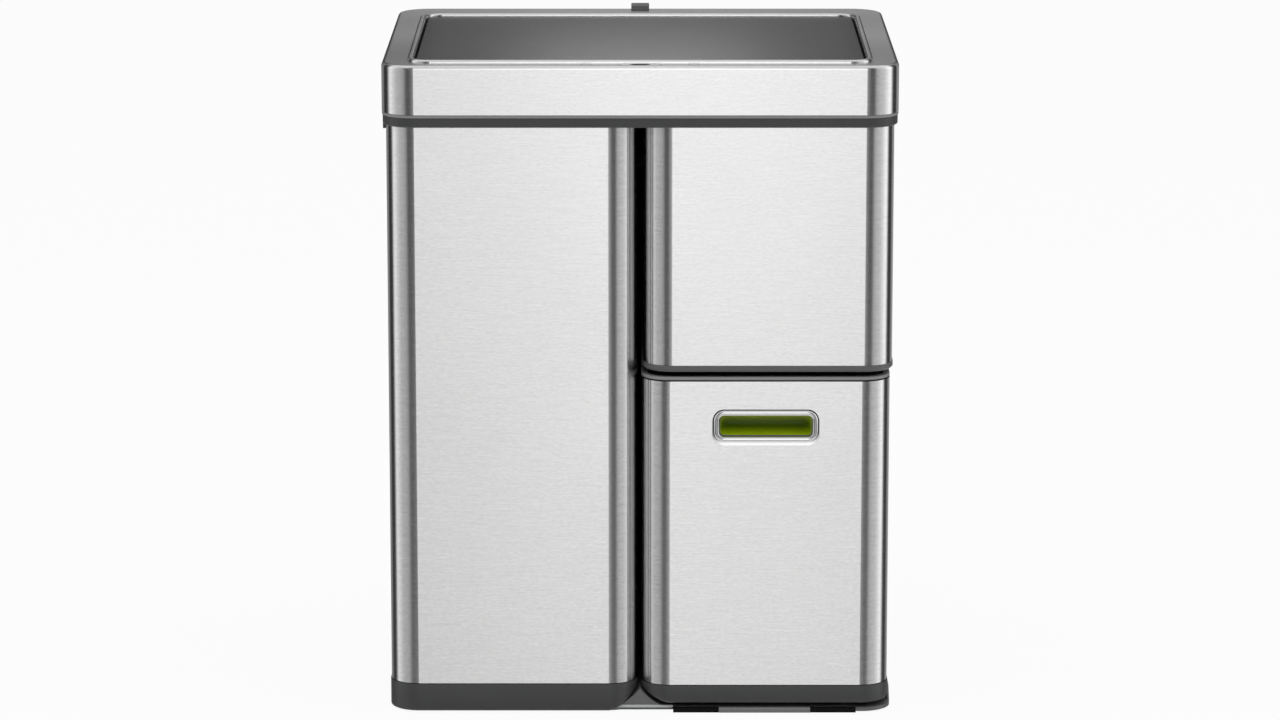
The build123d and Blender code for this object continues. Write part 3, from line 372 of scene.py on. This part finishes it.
def paintedLightPlastic(name, look):
    wire, place = startFinish(name)
    along = wire.add("ShaderNodeSeparateXYZ", {}, {"Vector": place}, out="Y")
    rise = (along.also("Z") - look["middle"]) / look["half"]
    # painted shade: deeper into the cup and up under its roof the colour turns from the painted
    # light to the back tones; along its floor it stays painted light
    inside = wire.math("MAXIMUM", along.soft(*look["inside"]), rise.soft(*look["roof"]))
    paintedShade = inside * rise.soft(*look["floor"])
    grain = place.noise(look["grain"], detail=2)
    # back tones: painted deep shade low down, a paler painted light higher up
    back = rise.soft(*look["pale"]).blend(rgba(look["paintedDeepShade"]), rgba(look["upper"]))
    sealFinish(wire, {
        "Base Color": mixed(look["grainShare"], paintedShade, grain).blend(rgba(look["paintedLit"]), back),
        "Roughness": grain.around(look["rough"], look["spread"]),
        "Specular IOR Level": look["gloss"]})


paintedLightPlastic("green", cupPaintedLightLook)

# plain metals: a fine all-over grain
metalLooks = {
    "silver": {"dark": (0.76, 0.76, 0.77), "light": (0.80, 0.80, 0.81),
               "rough": 0.2, "grain": 700, "spread": 0.02},
    "black_steel": {"dark": (0.018, 0.018, 0.019), "light": (0.03, 0.03, 0.031),
                    "rough": 0.42, "grain": 500, "metal": 0.3},
    "hardware": {"dark": (0.52, 0.52, 0.50), "light": (0.70, 0.70, 0.68),
                 "rough": 0.30, "grain": 400},
    "bronze": {"dark": (0.42, 0.26, 0.11), "light": (0.58, 0.37, 0.17),
               "rough": 0.35, "grain": 600},
    "motor": {"dark": (0.48, 0.48, 0.49), "light": (0.62, 0.62, 0.63),
              "rough": 0.34, "grain": 500},
    "cell": {"dark": (0.30, 0.31, 0.33), "light": (0.42, 0.43, 0.45),
             "rough": 0.28, "grain": 300},
}
metalShape = {"drift": 12, "grainShare": 0.6, "spread": 0.07, "metal": 1.0}


def plainMetal(name, look, shape):
    wire, place = startFinish(name)
    drift = place.noise(shape["drift"], detail=2)
    grain = place.noise(look["grain"], detail=3)
    tint = mixed(shape["grainShare"], drift, grain)
    sealFinish(wire, {
        "Base Color": tint.blend(rgba(look["dark"]), rgba(look["light"])),
        "Metallic": look.get("metal", shape["metal"]),
        "Roughness": grain.around(look["rough"], look.get("spread", shape["spread"]))})


for finishName, finishLook in metalLooks.items():
    plainMetal(finishName, finishLook, metalShape)

# solids with a finish other than their record's, and the record's slot for finishes made here
ownFinish = {"tower_bolts": "black_steel", "tower_spacers": "rubber", "lid_shaft": "black_steel",
             "base_plate": "plate", "tray_lip": "lip", "upper_pan": "upperRing",
             "battery_door": "doorGrey"}
for solidName, solid in nodes.items():
    for place in solid.material_slots:
        place.material = finishes[ownFinish.get(solidName, place.material.name)]
print("finishes:", len(finishes))

# shared moves for the new pieces
ringWeld, pieceWeld = 0.00001, 0.000005
plainCrease, softCrease = 38, 60        # degrees; soft is for shallow domes
toFront, toRear = math.pi / 2, -math.pi / 2


def pick(made, kind):
    return [item for item in made if isinstance(item, kind)]


def middleOf(node):
    low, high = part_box(node)
    return [(start + end) / 2 for start, end in zip(low, high)]


def halfOf(node):       # half of a solid's size
    low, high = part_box(node)
    return [(end - start) / 2 for start, end in zip(low, high)]


def rearOf(node):
    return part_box(node)[1][1]


def rearSpot(node, x, z, start=0.4):        # where a line from behind meets a solid
    return nodes[node].ray_cast(Vector((x, start, z)), Vector((0, -1, 0)))[1]


def bandProfile(inner, outer, foot, head):
    return [(inner, foot), (outer, foot), (outer, head), (inner, head)]


def halfRound(wide, tall, facets, foot=0.0):        # from the outer edge of a band to its inner one
    turns = [math.pi * step / facets for step in range(facets + 1)]
    return [(wide / 2 * (math.cos(turn) - 1), tall * math.sin(turn) + foot) for turn in turns]


def sweepRound(profile, half, corner, steps, closed=True):
    # a profile of (outward, height) runs round a rounded rectangle
    mesh = bmesh.new()
    verts = [mesh.verts.new((half[0] + out, corner - half[1], height)) for out, height in profile]
    edges = [mesh.edges.new(pair) for pair in zip(verts, verts[1:])]
    if closed:
        edges.append(mesh.edges.new((verts[-1], verts[0])))
    reachX, reachY = half[0] - corner, half[1] - corner
    runs = [((0, 2 * reachY, 0), (reachX, reachY, 0)),
            ((-2 * reachX, 0, 0), (-reachX, reachY, 0)),
            ((0, -2 * reachY, 0), (-reachX, -reachY, 0)),
            ((2 * reachX, 0, 0), (reachX, -reachY, 0))]
    for shift, pivot in runs:
        made = bmesh.ops.extrude_edge_only(mesh, edges=edges)["geom"]
        verts = pick(made, bmesh.types.BMVert)
        edges = [edge for edge in pick(made, bmesh.types.BMEdge)
                 if all(end in verts for end in edge.verts)]
        bmesh.ops.translate(mesh, vec=shift, verts=verts)
        made = bmesh.ops.spin(mesh, geom=verts + edges, cent=pivot, axis=(0, 0, 1),
                              angle=math.pi / 2, steps=steps)
        edges = pick(made["geom_last"], bmesh.types.BMEdge)
    bmesh.ops.remove_doubles(mesh, verts=mesh.verts, dist=ringWeld)
    return mesh


def roundPlate(half, corner, segments=8):       # one face with rounded corners, facing up
    mesh = bmesh.new()
    verts = bmesh.ops.create_grid(mesh, x_segments=1, y_segments=1, size=1.0)["verts"]
    bmesh.ops.scale(mesh, vec=(half[0], half[1], 1.0), verts=verts)
    bmesh.ops.bevel(mesh, geom=verts, offset=corner, segments=segments, profile=0.5,
                    affect="VERTICES", material=-1)
    return mesh, next(iter(mesh.faces))


def pushFace(mesh, face):       # extrude one face; a lone face stays as the cap behind
    made = bmesh.ops.extrude_face_region(mesh, geom=[face] + list(face.edges))["geom"]
    return pick(made, bmesh.types.BMFace)[0]


def raiseFace(mesh, face, rise, shrink):        # extrude one face and draw its edge in
    top = pushFace(mesh, face)
    verts = list(top.verts)
    spans = [max(vert.co[axis] for vert in verts) - min(vert.co[axis] for vert in verts)
             for axis in (0, 1)]
    pull = [1 - 2 * shrink / span for span in spans]
    bmesh.ops.scale(mesh, vec=(pull[0], pull[1], 1), verts=verts,
                    space=Matrix.Translation(-top.calc_center_bounds()))
    bmesh.ops.translate(mesh, vec=(0, 0, rise), verts=verts)
    return top


def stepPlate(half, corner, rises):     # a rounded plate, raised by (rise, shrink) again and again
    mesh, face = roundPlate(half, corner)
    for rise, shrink in rises:
        face = raiseFace(mesh, face, rise, shrink)
    return mesh


def roundBar(mesh, low, high, edge, segments=3):        # a bar between two corners with eased edges
    verts = bmesh.ops.create_cube(mesh, size=1.0)["verts"]
    low, high = Vector(low), Vector(high)
    bmesh.ops.scale(mesh, vec=high - low, verts=verts)
    bmesh.ops.translate(mesh, vec=(low + high) / 2, verts=verts)
    edges = list(dict.fromkeys(line for vert in verts for line in vert.link_edges))
    bmesh.ops.bevel(mesh, geom=edges, offset=edge, segments=segments, profile=0.5,
                    affect="EDGES", material=-1)


def moveBy(mesh, way):
    bmesh.ops.translate(mesh, vec=way, verts=mesh.verts)


def moveOver(mesh, node, height, back=0.0):     # to the middle of a solid, seen from above
    middle = middleOf(node)
    moveBy(mesh, (middle[0], middle[1] + back, height))


def stand(mesh, place, turn):       # a shape made flat now faces the front or the rear
    bmesh.ops.rotate(mesh, cent=(0, 0, 0), matrix=Matrix.Rotation(turn, 3, "X"), verts=mesh.verts)
    moveBy(mesh, place)


def absorb(mesh, part):     # one mesh takes in another
    data = bpy.data.meshes.new("part")
    part.to_mesh(data)
    part.free()
    mesh.from_mesh(data)
    bpy.data.meshes.remove(data)


def addPiece(name, mesh, finish, body, swapped=(), crease=plainCrease):
    bmesh.ops.remove_doubles(mesh, verts=mesh.verts, dist=pieceWeld)
    bmesh.ops.recalc_face_normals(mesh, faces=mesh.faces)
    data = bpy.data.meshes.new(name)
    mesh.to_mesh(data)
    mesh.free()
    data.shade_smooth()
    data.set_sharp_from_angle(angle=math.radians(crease))
    data.materials.append(finishes[finish])
    piece = bpy.data.objects.new(name, data)
    scene.collection.objects.link(piece)
    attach(piece, body)
    if swapped:
        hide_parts(*swapped)
    return piece


# finger pull of the caddy: a polished half-round frame with a dark strip outside and inside it as
# painted shadow lines, on a thin bright flange, and a scooped cup; profiles are (outward, height)
frameLook = {"half": (0.0510, 0.0160), "corner": 0.0106, "rise": 0.0011, "back": 0.0,
             "finish": "silver", "band": 0.0056, "crown": 0.0024, "foot": 0.0002, "sink": 0.0003,
             "lip": 0.003, "facets": 12}
pullRings = {
    # black strip round the outside of the frame: a painted shadow line in place of the shade in the
    # gap round it
    "bezelShadowLine": {"half": (0.0520, 0.0164), "corner": 0.0113, "rise": 0.0014, "back": 0.0,
                    "finish": "rubber",
                    "profile": [(-0.0016, -0.0003), (0.0, -0.0003), (-0.0002, 0.0006),
                                (-0.0016, 0.0006)]},
    # dark grey strip inside the frame, showing at the bottom: a painted shadow line between frame
    # and cup
    "bezelInnerShadowLine": {"half": [side - frameLook["band"] for side in frameLook["half"]],
                 "corner": 0.0048, "rise": 0.0019, "back": 0.0004, "finish": "doorGrey",
                 "profile": bandProfile(-0.0009, 0.0004, -0.0003, 0.0003)},
    "bezelFlange": {"half": (0.0525, 0.0179), "corner": 0.0118, "rise": -0.0005, "back": 0.0,
                    "finish": "silver",
                    "profile": [(-0.0055, -0.0003), (0.0, -0.0003), (0.0, 0.00021),
                                (-0.0003, 0.00042), (-0.0055, 0.00006)]},
}
pullSteps = 10


def pullPlace(back, rise):      # a spot on the caddy's front, from the middle of the finger pull
    middle = middleOf("handle_bezel")
    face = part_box("caddy_shell")[0][1]
    return (middle[0], face + back, middle[2] + rise)


def makePullRing(name, look, profile, swapped=()):
    mesh = sweepRound(profile, look["half"], look["corner"], pullSteps)
    stand(mesh, pullPlace(look["back"], look["rise"]), toFront)
    addPiece(name, mesh, look["finish"], "caddy", swapped)


def makeFrame(look):
    profile = halfRound(look["band"], look["crown"], look["facets"], look["foot"])
    profile = [(0.0, -look["sink"])] + profile + [(-look["band"], -look["lip"])]
    makePullRing("bezelFrame", look, profile, ("handle_bezel",))


makeFrame(frameLook)
for ringName, ringLook in pullRings.items():
    makePullRing(ringName, ringLook, ringLook["profile"])

cupLook = {"half": (0.0462, 0.0106), "rise": 0.0012, "corner": 0.0046, "depth": 0.0222,
           "round": (0.011, 0.0092), "rings": 10, "wall": 0.0011, "back": 0.0016}


def makeCup(look):
    mesh, mouth = roundPlate(look["half"], look["corner"])
    floor = mouth
    was = (0.0, 1.0)
    for ring in range(1, look["rings"] + 1):
        turn = math.pi / 2 * ring / look["rings"]
        now = (look["depth"] * math.sin(turn), math.cos(turn))
        floor = pushFace(mesh, floor)
        pull = [(half - reach * (1 - now[1])) / (half - reach * (1 - was[1]))
                for half, reach in zip(look["half"], look["round"])]
        bmesh.ops.scale(mesh, vec=(pull[0], pull[1], 1), verts=floor.verts)
        bmesh.ops.translate(mesh, vec=(0, 0, was[0] - now[0]), verts=floor.verts)
        was = now
    bmesh.ops.delete(mesh, geom=[mouth], context="FACES_ONLY")
    bmesh.ops.recalc_face_normals(mesh, faces=mesh.faces)
    bmesh.ops.solidify(mesh, geom=list(mesh.faces), thickness=look["wall"])
    stand(mesh, pullPlace(look["back"], look["rise"]), toFront)
    addPiece("fingerCup", mesh, "green", "caddy", ("handle_cup",))


makeCup(cupLook)
print("finger pull made")

# lid skin: eased edge and a slight crown
lidLook = {"corner": 0.0145, "edge": 0.0009, "arc": 4, "crown": 0.0009, "rings": 9, "crease": 50}


def makeLidSkin(look):
    low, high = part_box("lid_panel")
    half = halfOf("lid_panel")
    edge, arc, rings = look["edge"], look["arc"], look["rings"] + 1
    rises = [(high[2] - low[2] - edge, 0.0)]
    for step in range(1, arc + 1):
        turn, before = math.pi / 2 * step / arc, math.pi / 2 * (step - 1) / arc
        rises.append((edge * (math.sin(turn) - math.sin(before)),
                      edge * (math.cos(before) - math.cos(turn))))
    for ring in range(1, rings):
        far, near = 1 - ring / rings, 1 - (ring - 1) / rings
        rises.append((look["crown"] * (near * near - far * far), (half[1] - edge) / rings))
    mesh = stepPlate(half, look["corner"], rises)
    moveOver(mesh, "lid_panel", low[2])
    return addPiece("lidSkin", mesh, "lid_dark", "lid", ("lid_panel",), look["crease"])


lidSkin = makeLidSkin(lidLook)
hangLamp("lidSoft", lampLook["lidSoft"], lidSkin)
print("lid skin made")

# black strip that closes the valley between the columns, wider at its foot, with a narrow front lip
sealLook = {"half": 0.00305, "edge": 0.0004, "footX": (-0.0036, 0.0034), "footZ": (0.0016, 0.340),
            "lipShare": 3, "lipAhead": 0.002, "lipBack": 0.001}


def makeSeal(look):
    low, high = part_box("gap_strip")
    half, lip = look["half"], look["half"] / look["lipShare"]
    (footLeft, footRight), (footLow, footHigh) = look["footX"], look["footZ"]
    mesh = bmesh.new()
    roundBar(mesh, (-half, low[1], low[2]), (half, high[1], high[2]), look["edge"])
    roundBar(mesh, (footLeft, low[1], footLow), (footRight, high[1], footHigh), look["edge"])
    roundBar(mesh, (-lip, low[1] - look["lipAhead"], low[2]),
             (lip, low[1] + look["lipBack"], high[2]), look["edge"])
    addPiece("valleySeal", mesh, "rubber", "cabinet", ("gap_strip",))


makeSeal(sealLook)
print("valley seal made")

# base rings: their lower edges sweep up where the two columns meet
plinthLooks = {
    "leftPlinth": {"node": "left_base_ring", "body": "cabinet", "top": 0.029, "inner": 0.005,
                   "floor": 0.008, "wall": 0.003, "foot": 0.0025, "inside": "right", "lift": 0.79},
    "caddyTub": {"node": "caddy_pan", "body": "caddy", "top": 0.0275, "inner": 0.009,
                 "floor": 0.012, "wall": 0.004, "foot": 0.004, "inside": "left", "lift": 0.75},
}
plinthShape = {"corner": 0.0288, "shoulder": 0.001, "sheet": 0.0016, "spigot": 0.0036,
               "reach": 0.010, "rungs": (0.0285, 0.022, 0.016, 0.010), "ease": 0.0002,
               "span": 0.0285, "power": 1.6, "steps": 14, "arc": 5, "crease": 32}


def sweepLift(away, shape, lift):       # share of a ring's height left, away from its inner side
    return 1.0 - lift * max(0.0, 1.0 - away / shape["span"]) ** shape["power"]


def plinthProfile(look, shape, bottom):     # from the underside round the wall to the floor
    top, foot, wall = look["top"], look["foot"], look["wall"]
    sheet, spigot, reach = shape["sheet"], shape["spigot"], shape["reach"]
    profile = [(-out, look["inner"]) for out in (*shape["rungs"], wall + shape["ease"])]
    if bottom < look["inner"]:
        profile.append((-wall, bottom))
    for step in range(shape["arc"] + 1):
        turn = math.pi / 2 * step / shape["arc"]
        profile.append((foot * (math.sin(turn) - 1), bottom + foot * (1 - math.cos(turn))))
    profile += [(0.0, top - shape["shoulder"]), (-shape["shoulder"] / 2, top), (-sheet, top),
                (-sheet, top + reach), (-spigot, top + reach), (-spigot, look["floor"])]
    return profile + [(-out, look["floor"]) for out in reversed(shape["rungs"])]


def makePlinth(name, look, shape):
    low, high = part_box(look["node"])
    profile = plinthProfile(look, shape, low[2])
    mesh = sweepRound(profile, halfOf(look["node"]), shape["corner"], shape["steps"], closed=False)
    bmesh.ops.holes_fill(mesh, edges=[edge for edge in mesh.edges if edge.is_boundary], sides=0)
    moveOver(mesh, look["node"], 0)
    pivot = look["top"] - shape["shoulder"]
    for vert in mesh.verts:
        away = high[0] - vert.co.x if look["inside"] == "right" else vert.co.x - low[0]
        if vert.co.z < pivot:
            vert.co.z = pivot - (pivot - vert.co.z) * sweepLift(away, shape, look["lift"])
    addPiece(name, mesh, "charcoal", look["body"], (look["node"],), shape["crease"])


for plinthName, plinthLook in plinthLooks.items():
    makePlinth(plinthName, plinthLook, plinthShape)

# ridge of the base that fills the arch between the rings; its right flank sits a little closer,
# by shares of half
ridgeLook = {"front": -0.1962, "back": 0.1766, "plate": 0.005, "sink": 0.0008, "crest": 0.0212,
             "half": 0.0009, "crestRight": 0.4, "closer": 0.6, "reach": 0.028, "power": 1.9,
             "points": 9, "lean": 0.004, "crease": 30}


def makeRidge(look):
    half, plate, points = look["half"], look["plate"], look["points"]
    outline = []
    for step in range(points + 1):
        part = step / points
        rise = (look["crest"] - plate) * part ** look["power"] + plate
        outline.append((-half - look["reach"] * (1 - part), rise))
    right = [(-x - half * look["closer"], rise) for x, rise in reversed(outline[:points])]
    outline += [(half * look["crestRight"], look["crest"])] + right
    root = plate - look["sink"]
    corners = [(outline[0][0], root)] + outline + [(outline[-1][0], root)]
    mesh = bmesh.new()
    verts = [mesh.verts.new((x, look["front"] + look["lean"] * (z - plate) / look["crest"], z))
             for x, z in corners]
    face = pushFace(mesh, mesh.faces.new(verts))
    for vert in face.verts:
        vert.co.y = look["back"]
    addPiece("trayRidge", mesh, "plate", "cabinet", (), look["crease"])


makeRidge(ridgeLook)

# rounded nose of the base at the front of the ridge, in the pale button finish as a painted
# highlight along the front edge of the plate
noseLook = {"left": -0.0315, "right": 0.0325, "bottom": 0.0036, "top": 0.0064, "ahead": 0.0012,
            "behind": 0.0015, "edge": 0.0012}


def makeNoseHighlight(look, front):
    mesh = bmesh.new()
    roundBar(mesh, (look["left"], front - look["ahead"], look["bottom"]),
             (look["right"], front + look["behind"], look["top"]), look["edge"])
    addPiece("trayNoseHighlight", mesh, "button", "cabinet")


makeNoseHighlight(noseLook, ridgeLook["front"])
print("base rings and ridge made")

# black strips where a steel wall meets a moulded ring: painted shadow lines in place of the shade
# in the gaps there
shadowLineLooks = {
    "leftShadowLine": {"node": "left_shell", "body": "cabinet", "foot": 0.0288, "tall": 0.0008,
                  "out": 0.00022, "back": 0.0006},
    "caddyShadowLine": {"node": "caddy_shell", "body": "caddy", "foot": 0.0273, "tall": 0.0008,
                   "out": 0.00022, "back": 0.0006},
    "caddyTopShadowLine": {"node": "caddy_shell", "body": "caddy", "foot": 0.3334, "tall": 0.0015,
                      "out": -0.00015, "back": 0.0011},
}
shadowLineShape = {"corner": 0.028, "steps": 14}


def makeShadowLine(name, look, shape):
    profile = bandProfile(-look["back"], look["out"], 0.0, look["tall"])
    mesh = sweepRound(profile, halfOf(look["node"]), shape["corner"], shape["steps"])
    moveOver(mesh, look["node"], look["foot"])
    addPiece(name, mesh, "rubber", look["body"])


for shadowLineName, shadowLineLook in shadowLineLooks.items():
    makeShadowLine(shadowLineName, shadowLineLook, shadowLineShape)
print("joint lines made")

# rounded lip round the top of the collar ring, in pale grey plastic as a painted highlight along
# its chamfer; its curve is in shares of proud and tall
collarHighlightLook = {"corner": 0.0312, "foot": 0.5930, "head": 0.5957, "proud": 0.0007, "root": 0.0006,
            "curve": [(0.4, 0.0), (1.0, 0.2), (1.0, 0.45), (0.1, 1.0)], "steps": 14}


def makeCollarHighlightLine(look):
    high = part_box("collar_ring")[1]
    tall = look["head"] - look["foot"]
    curve = [(look["proud"] * out, tall * up) for out, up in look["curve"]]
    profile = [(-look["root"], 0.0)] + curve + [(-look["root"], tall)]
    mesh = sweepRound(profile, (high[0], high[1]), look["corner"], look["steps"])
    moveBy(mesh, (0, 0, look["foot"]))
    addPiece("collarHighlightLine", mesh, "grey_plastic", "collar")


makeCollarHighlightLine(collarHighlightLook)

# shallow oval dish round the sensor, and the dark, slightly domed window over it
sensorLooks = {
    "sensorDish": {"half": (0.0215, 0.0056), "corner": 0.0054, "back": 0.0006, "finish": "steel",
                   "foot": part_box("lid_panel")[1][2],
                   "rises": [(0.0003, 0.0008), (-0.0002, 0.0028)]},
    "sensorWindow": {"half": (0.0093, 0.0042), "corner": 0.0041, "back": -0.0006, "finish": "lens",
                     "foot": 0.6438,
                     "rises": [(0.0005, 0.0002), (0.0003, 0.0012)]},
}


def makeSensorPart(name, look):
    mesh = stepPlate(look["half"], look["corner"], look["rises"])
    moveOver(mesh, "sensor_lens", look["foot"], look["back"])
    addPiece(name, mesh, look["finish"], "collar", (), softCrease)


for sensorName, sensorLook in sensorLooks.items():
    makeSensorPart(sensorName, sensorLook)
print("collar trim made")

# stiffening ribs under the lid
underLook = {"tall": 0.0018, "root": 0.0004, "half": 0.0011, "edge": 0.0005, "segments": 2,
             "across": 4, "along": 5, "inset": 0.012, "clear": 0.040}


def evenSteps(low, high, count):
    return [low + (high - low) * step / (count - 1) for step in range(count)]


def makeLidUnderside(look):
    low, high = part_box("lid_pan")
    lowX, highX = low[0] + look["inset"], high[0] - look["inset"]
    lowY, highY = low[1] + look["inset"], high[1] - look["clear"]
    foot, head, half = low[2] - look["tall"], low[2] + look["root"], look["half"]
    bars = [((lowX, y - half, foot), (highX, y + half, head))
            for y in evenSteps(lowY, highY, look["across"])]
    bars += [((x - half, lowY, foot), (x + half, highY, head))
             for x in evenSteps(lowX, highX, look["along"])]
    mesh = bmesh.new()
    for start, end in bars:
        roundBar(mesh, start, end, look["edge"], look["segments"])
    addPiece("lidRibs", mesh, "charcoal", "lid")


makeLidUnderside(underLook)
print("lid underside made")

# rear of the object: seams of the rolled steel, ribs of the column, door grips, switch marks
seamLooks = {
    "leftSeam": {"node": "left_shell", "body": "cabinet", "bottom": 0.0396, "top": 0.5880},
    "upperSeam": {"node": "upper_shell", "body": "cabinet", "bottom": 0.3498, "top": 0.5880},
    "caddySeam": {"node": "caddy_shell", "body": "caddy", "bottom": 0.0280, "top": 0.3330},
}
seamShape = {"half": 0.00035, "proud": 0.00012, "root": 0.0004, "edge": 0.0001, "segments": 2}


def makeSeam(name, look, shape):
    x, rear = middleOf(look["node"])[0], rearOf(look["node"])
    mesh = bmesh.new()
    roundBar(mesh, (x - shape["half"], rear - shape["root"], look["bottom"]),
             (x + shape["half"], rear + shape["proud"], look["top"]),
             shape["edge"], shape["segments"])
    addPiece(name, mesh, "black_steel", look["body"])


for seamName, seamLook in seamLooks.items():
    makeSeam(seamName, seamLook, seamShape)

columnLook = {"places": (-0.062, 0.0, 0.062), "half": (0.007, 0.118), "corner": 0.0068,
              "rises": [(0.00072, 0.0008), (0.00048, 0.0014)]}


def makeColumnRibs(look):
    mesh = bmesh.new()
    for place in look["places"]:
        rib = stepPlate(look["half"], look["corner"], look["rises"])
        moveBy(rib, (place, 0, 0))
        absorb(mesh, rib)
    middle = middleOf("rear_column")
    stand(mesh, (middle[0], rearOf("rear_column"), middle[2]), toRear)
    addPiece("columnRibs", mesh, "black_steel", "cabinet", (), softCrease)


makeColumnRibs(columnLook)

gripLook = {"count": 5, "half": 0.013, "low": 0.6215, "pitch": 0.0021, "tall": 0.0009,
            "proud": 0.0006, "root": 0.0003, "edge": 0.0003, "segments": 2, "probe": 0.02}


def makeDoorGrips(look):
    mesh = bmesh.new()
    for step in range(look["count"]):
        z = look["low"] + look["pitch"] * step
        face = rearSpot("battery_door", look["probe"], z)[1]
        roundBar(mesh, (-look["half"], face - look["root"], z),
                 (look["half"], face + look["proud"], z + look["tall"]),
                 look["edge"], look["segments"])
    addPiece("doorGrips", mesh, "charcoal", "battery_door")


makeDoorGrips(gripLook)

# a bar on one side of the rocker and a ring on the other
markLook = {"reach": 0.0048, "half": 0.0017, "line": 0.0005, "proud": 0.00012, "root": 0.0004,
            "edge": 0.0001, "segments": 1, "corner": 0.00169, "steps": 8}


def makeSwitchMarks(look):
    middle = middleOf("power_rocker")
    half, line, root, proud = look["half"], look["line"], look["root"], look["proud"]
    spot = rearSpot("power_rocker", middle[0] + look["reach"], middle[2])
    mesh = bmesh.new()
    roundBar(mesh, (spot[0] - line / 2, spot[1] - root, spot[2] - half),
             (spot[0] + line / 2, spot[1] + proud, spot[2] + half), look["edge"], look["segments"])
    profile = bandProfile(-line, 0, -root, proud)
    ring = sweepRound(profile, (half, half), look["corner"], look["steps"])
    stand(ring, rearSpot("power_rocker", middle[0] - look["reach"], middle[2]), toRear)
    absorb(mesh, ring)
    addPiece("switchMarks", mesh, "button", "power_rocker")


makeSwitchMarks(markLook)
print("rear details made")

# rolled rims of the two fixed liners
rimNodes = {"leftLinerRim": "left_liner", "upperLinerRim": "upper_liner"}
rimLook = {"corner": 0.018, "wide": 0.0042, "tall": 0.0010, "root": 0.0008,
           "facets": 6, "steps": 10}


def makeLinerRim(name, node, look):
    profile = halfRound(look["wide"], look["tall"], look["facets"])
    profile = [(0.0, -look["root"])] + profile + [(-look["wide"], -look["root"])]
    mesh = sweepRound(profile, halfOf(node), look["corner"], look["steps"])
    moveOver(mesh, node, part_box(node)[1][2])
    addPiece(name, mesh, "liner", "cabinet")


for rimName, rimNode in rimNodes.items():
    makeLinerRim(rimName, rimNode, rimLook)
print("liner rims made")
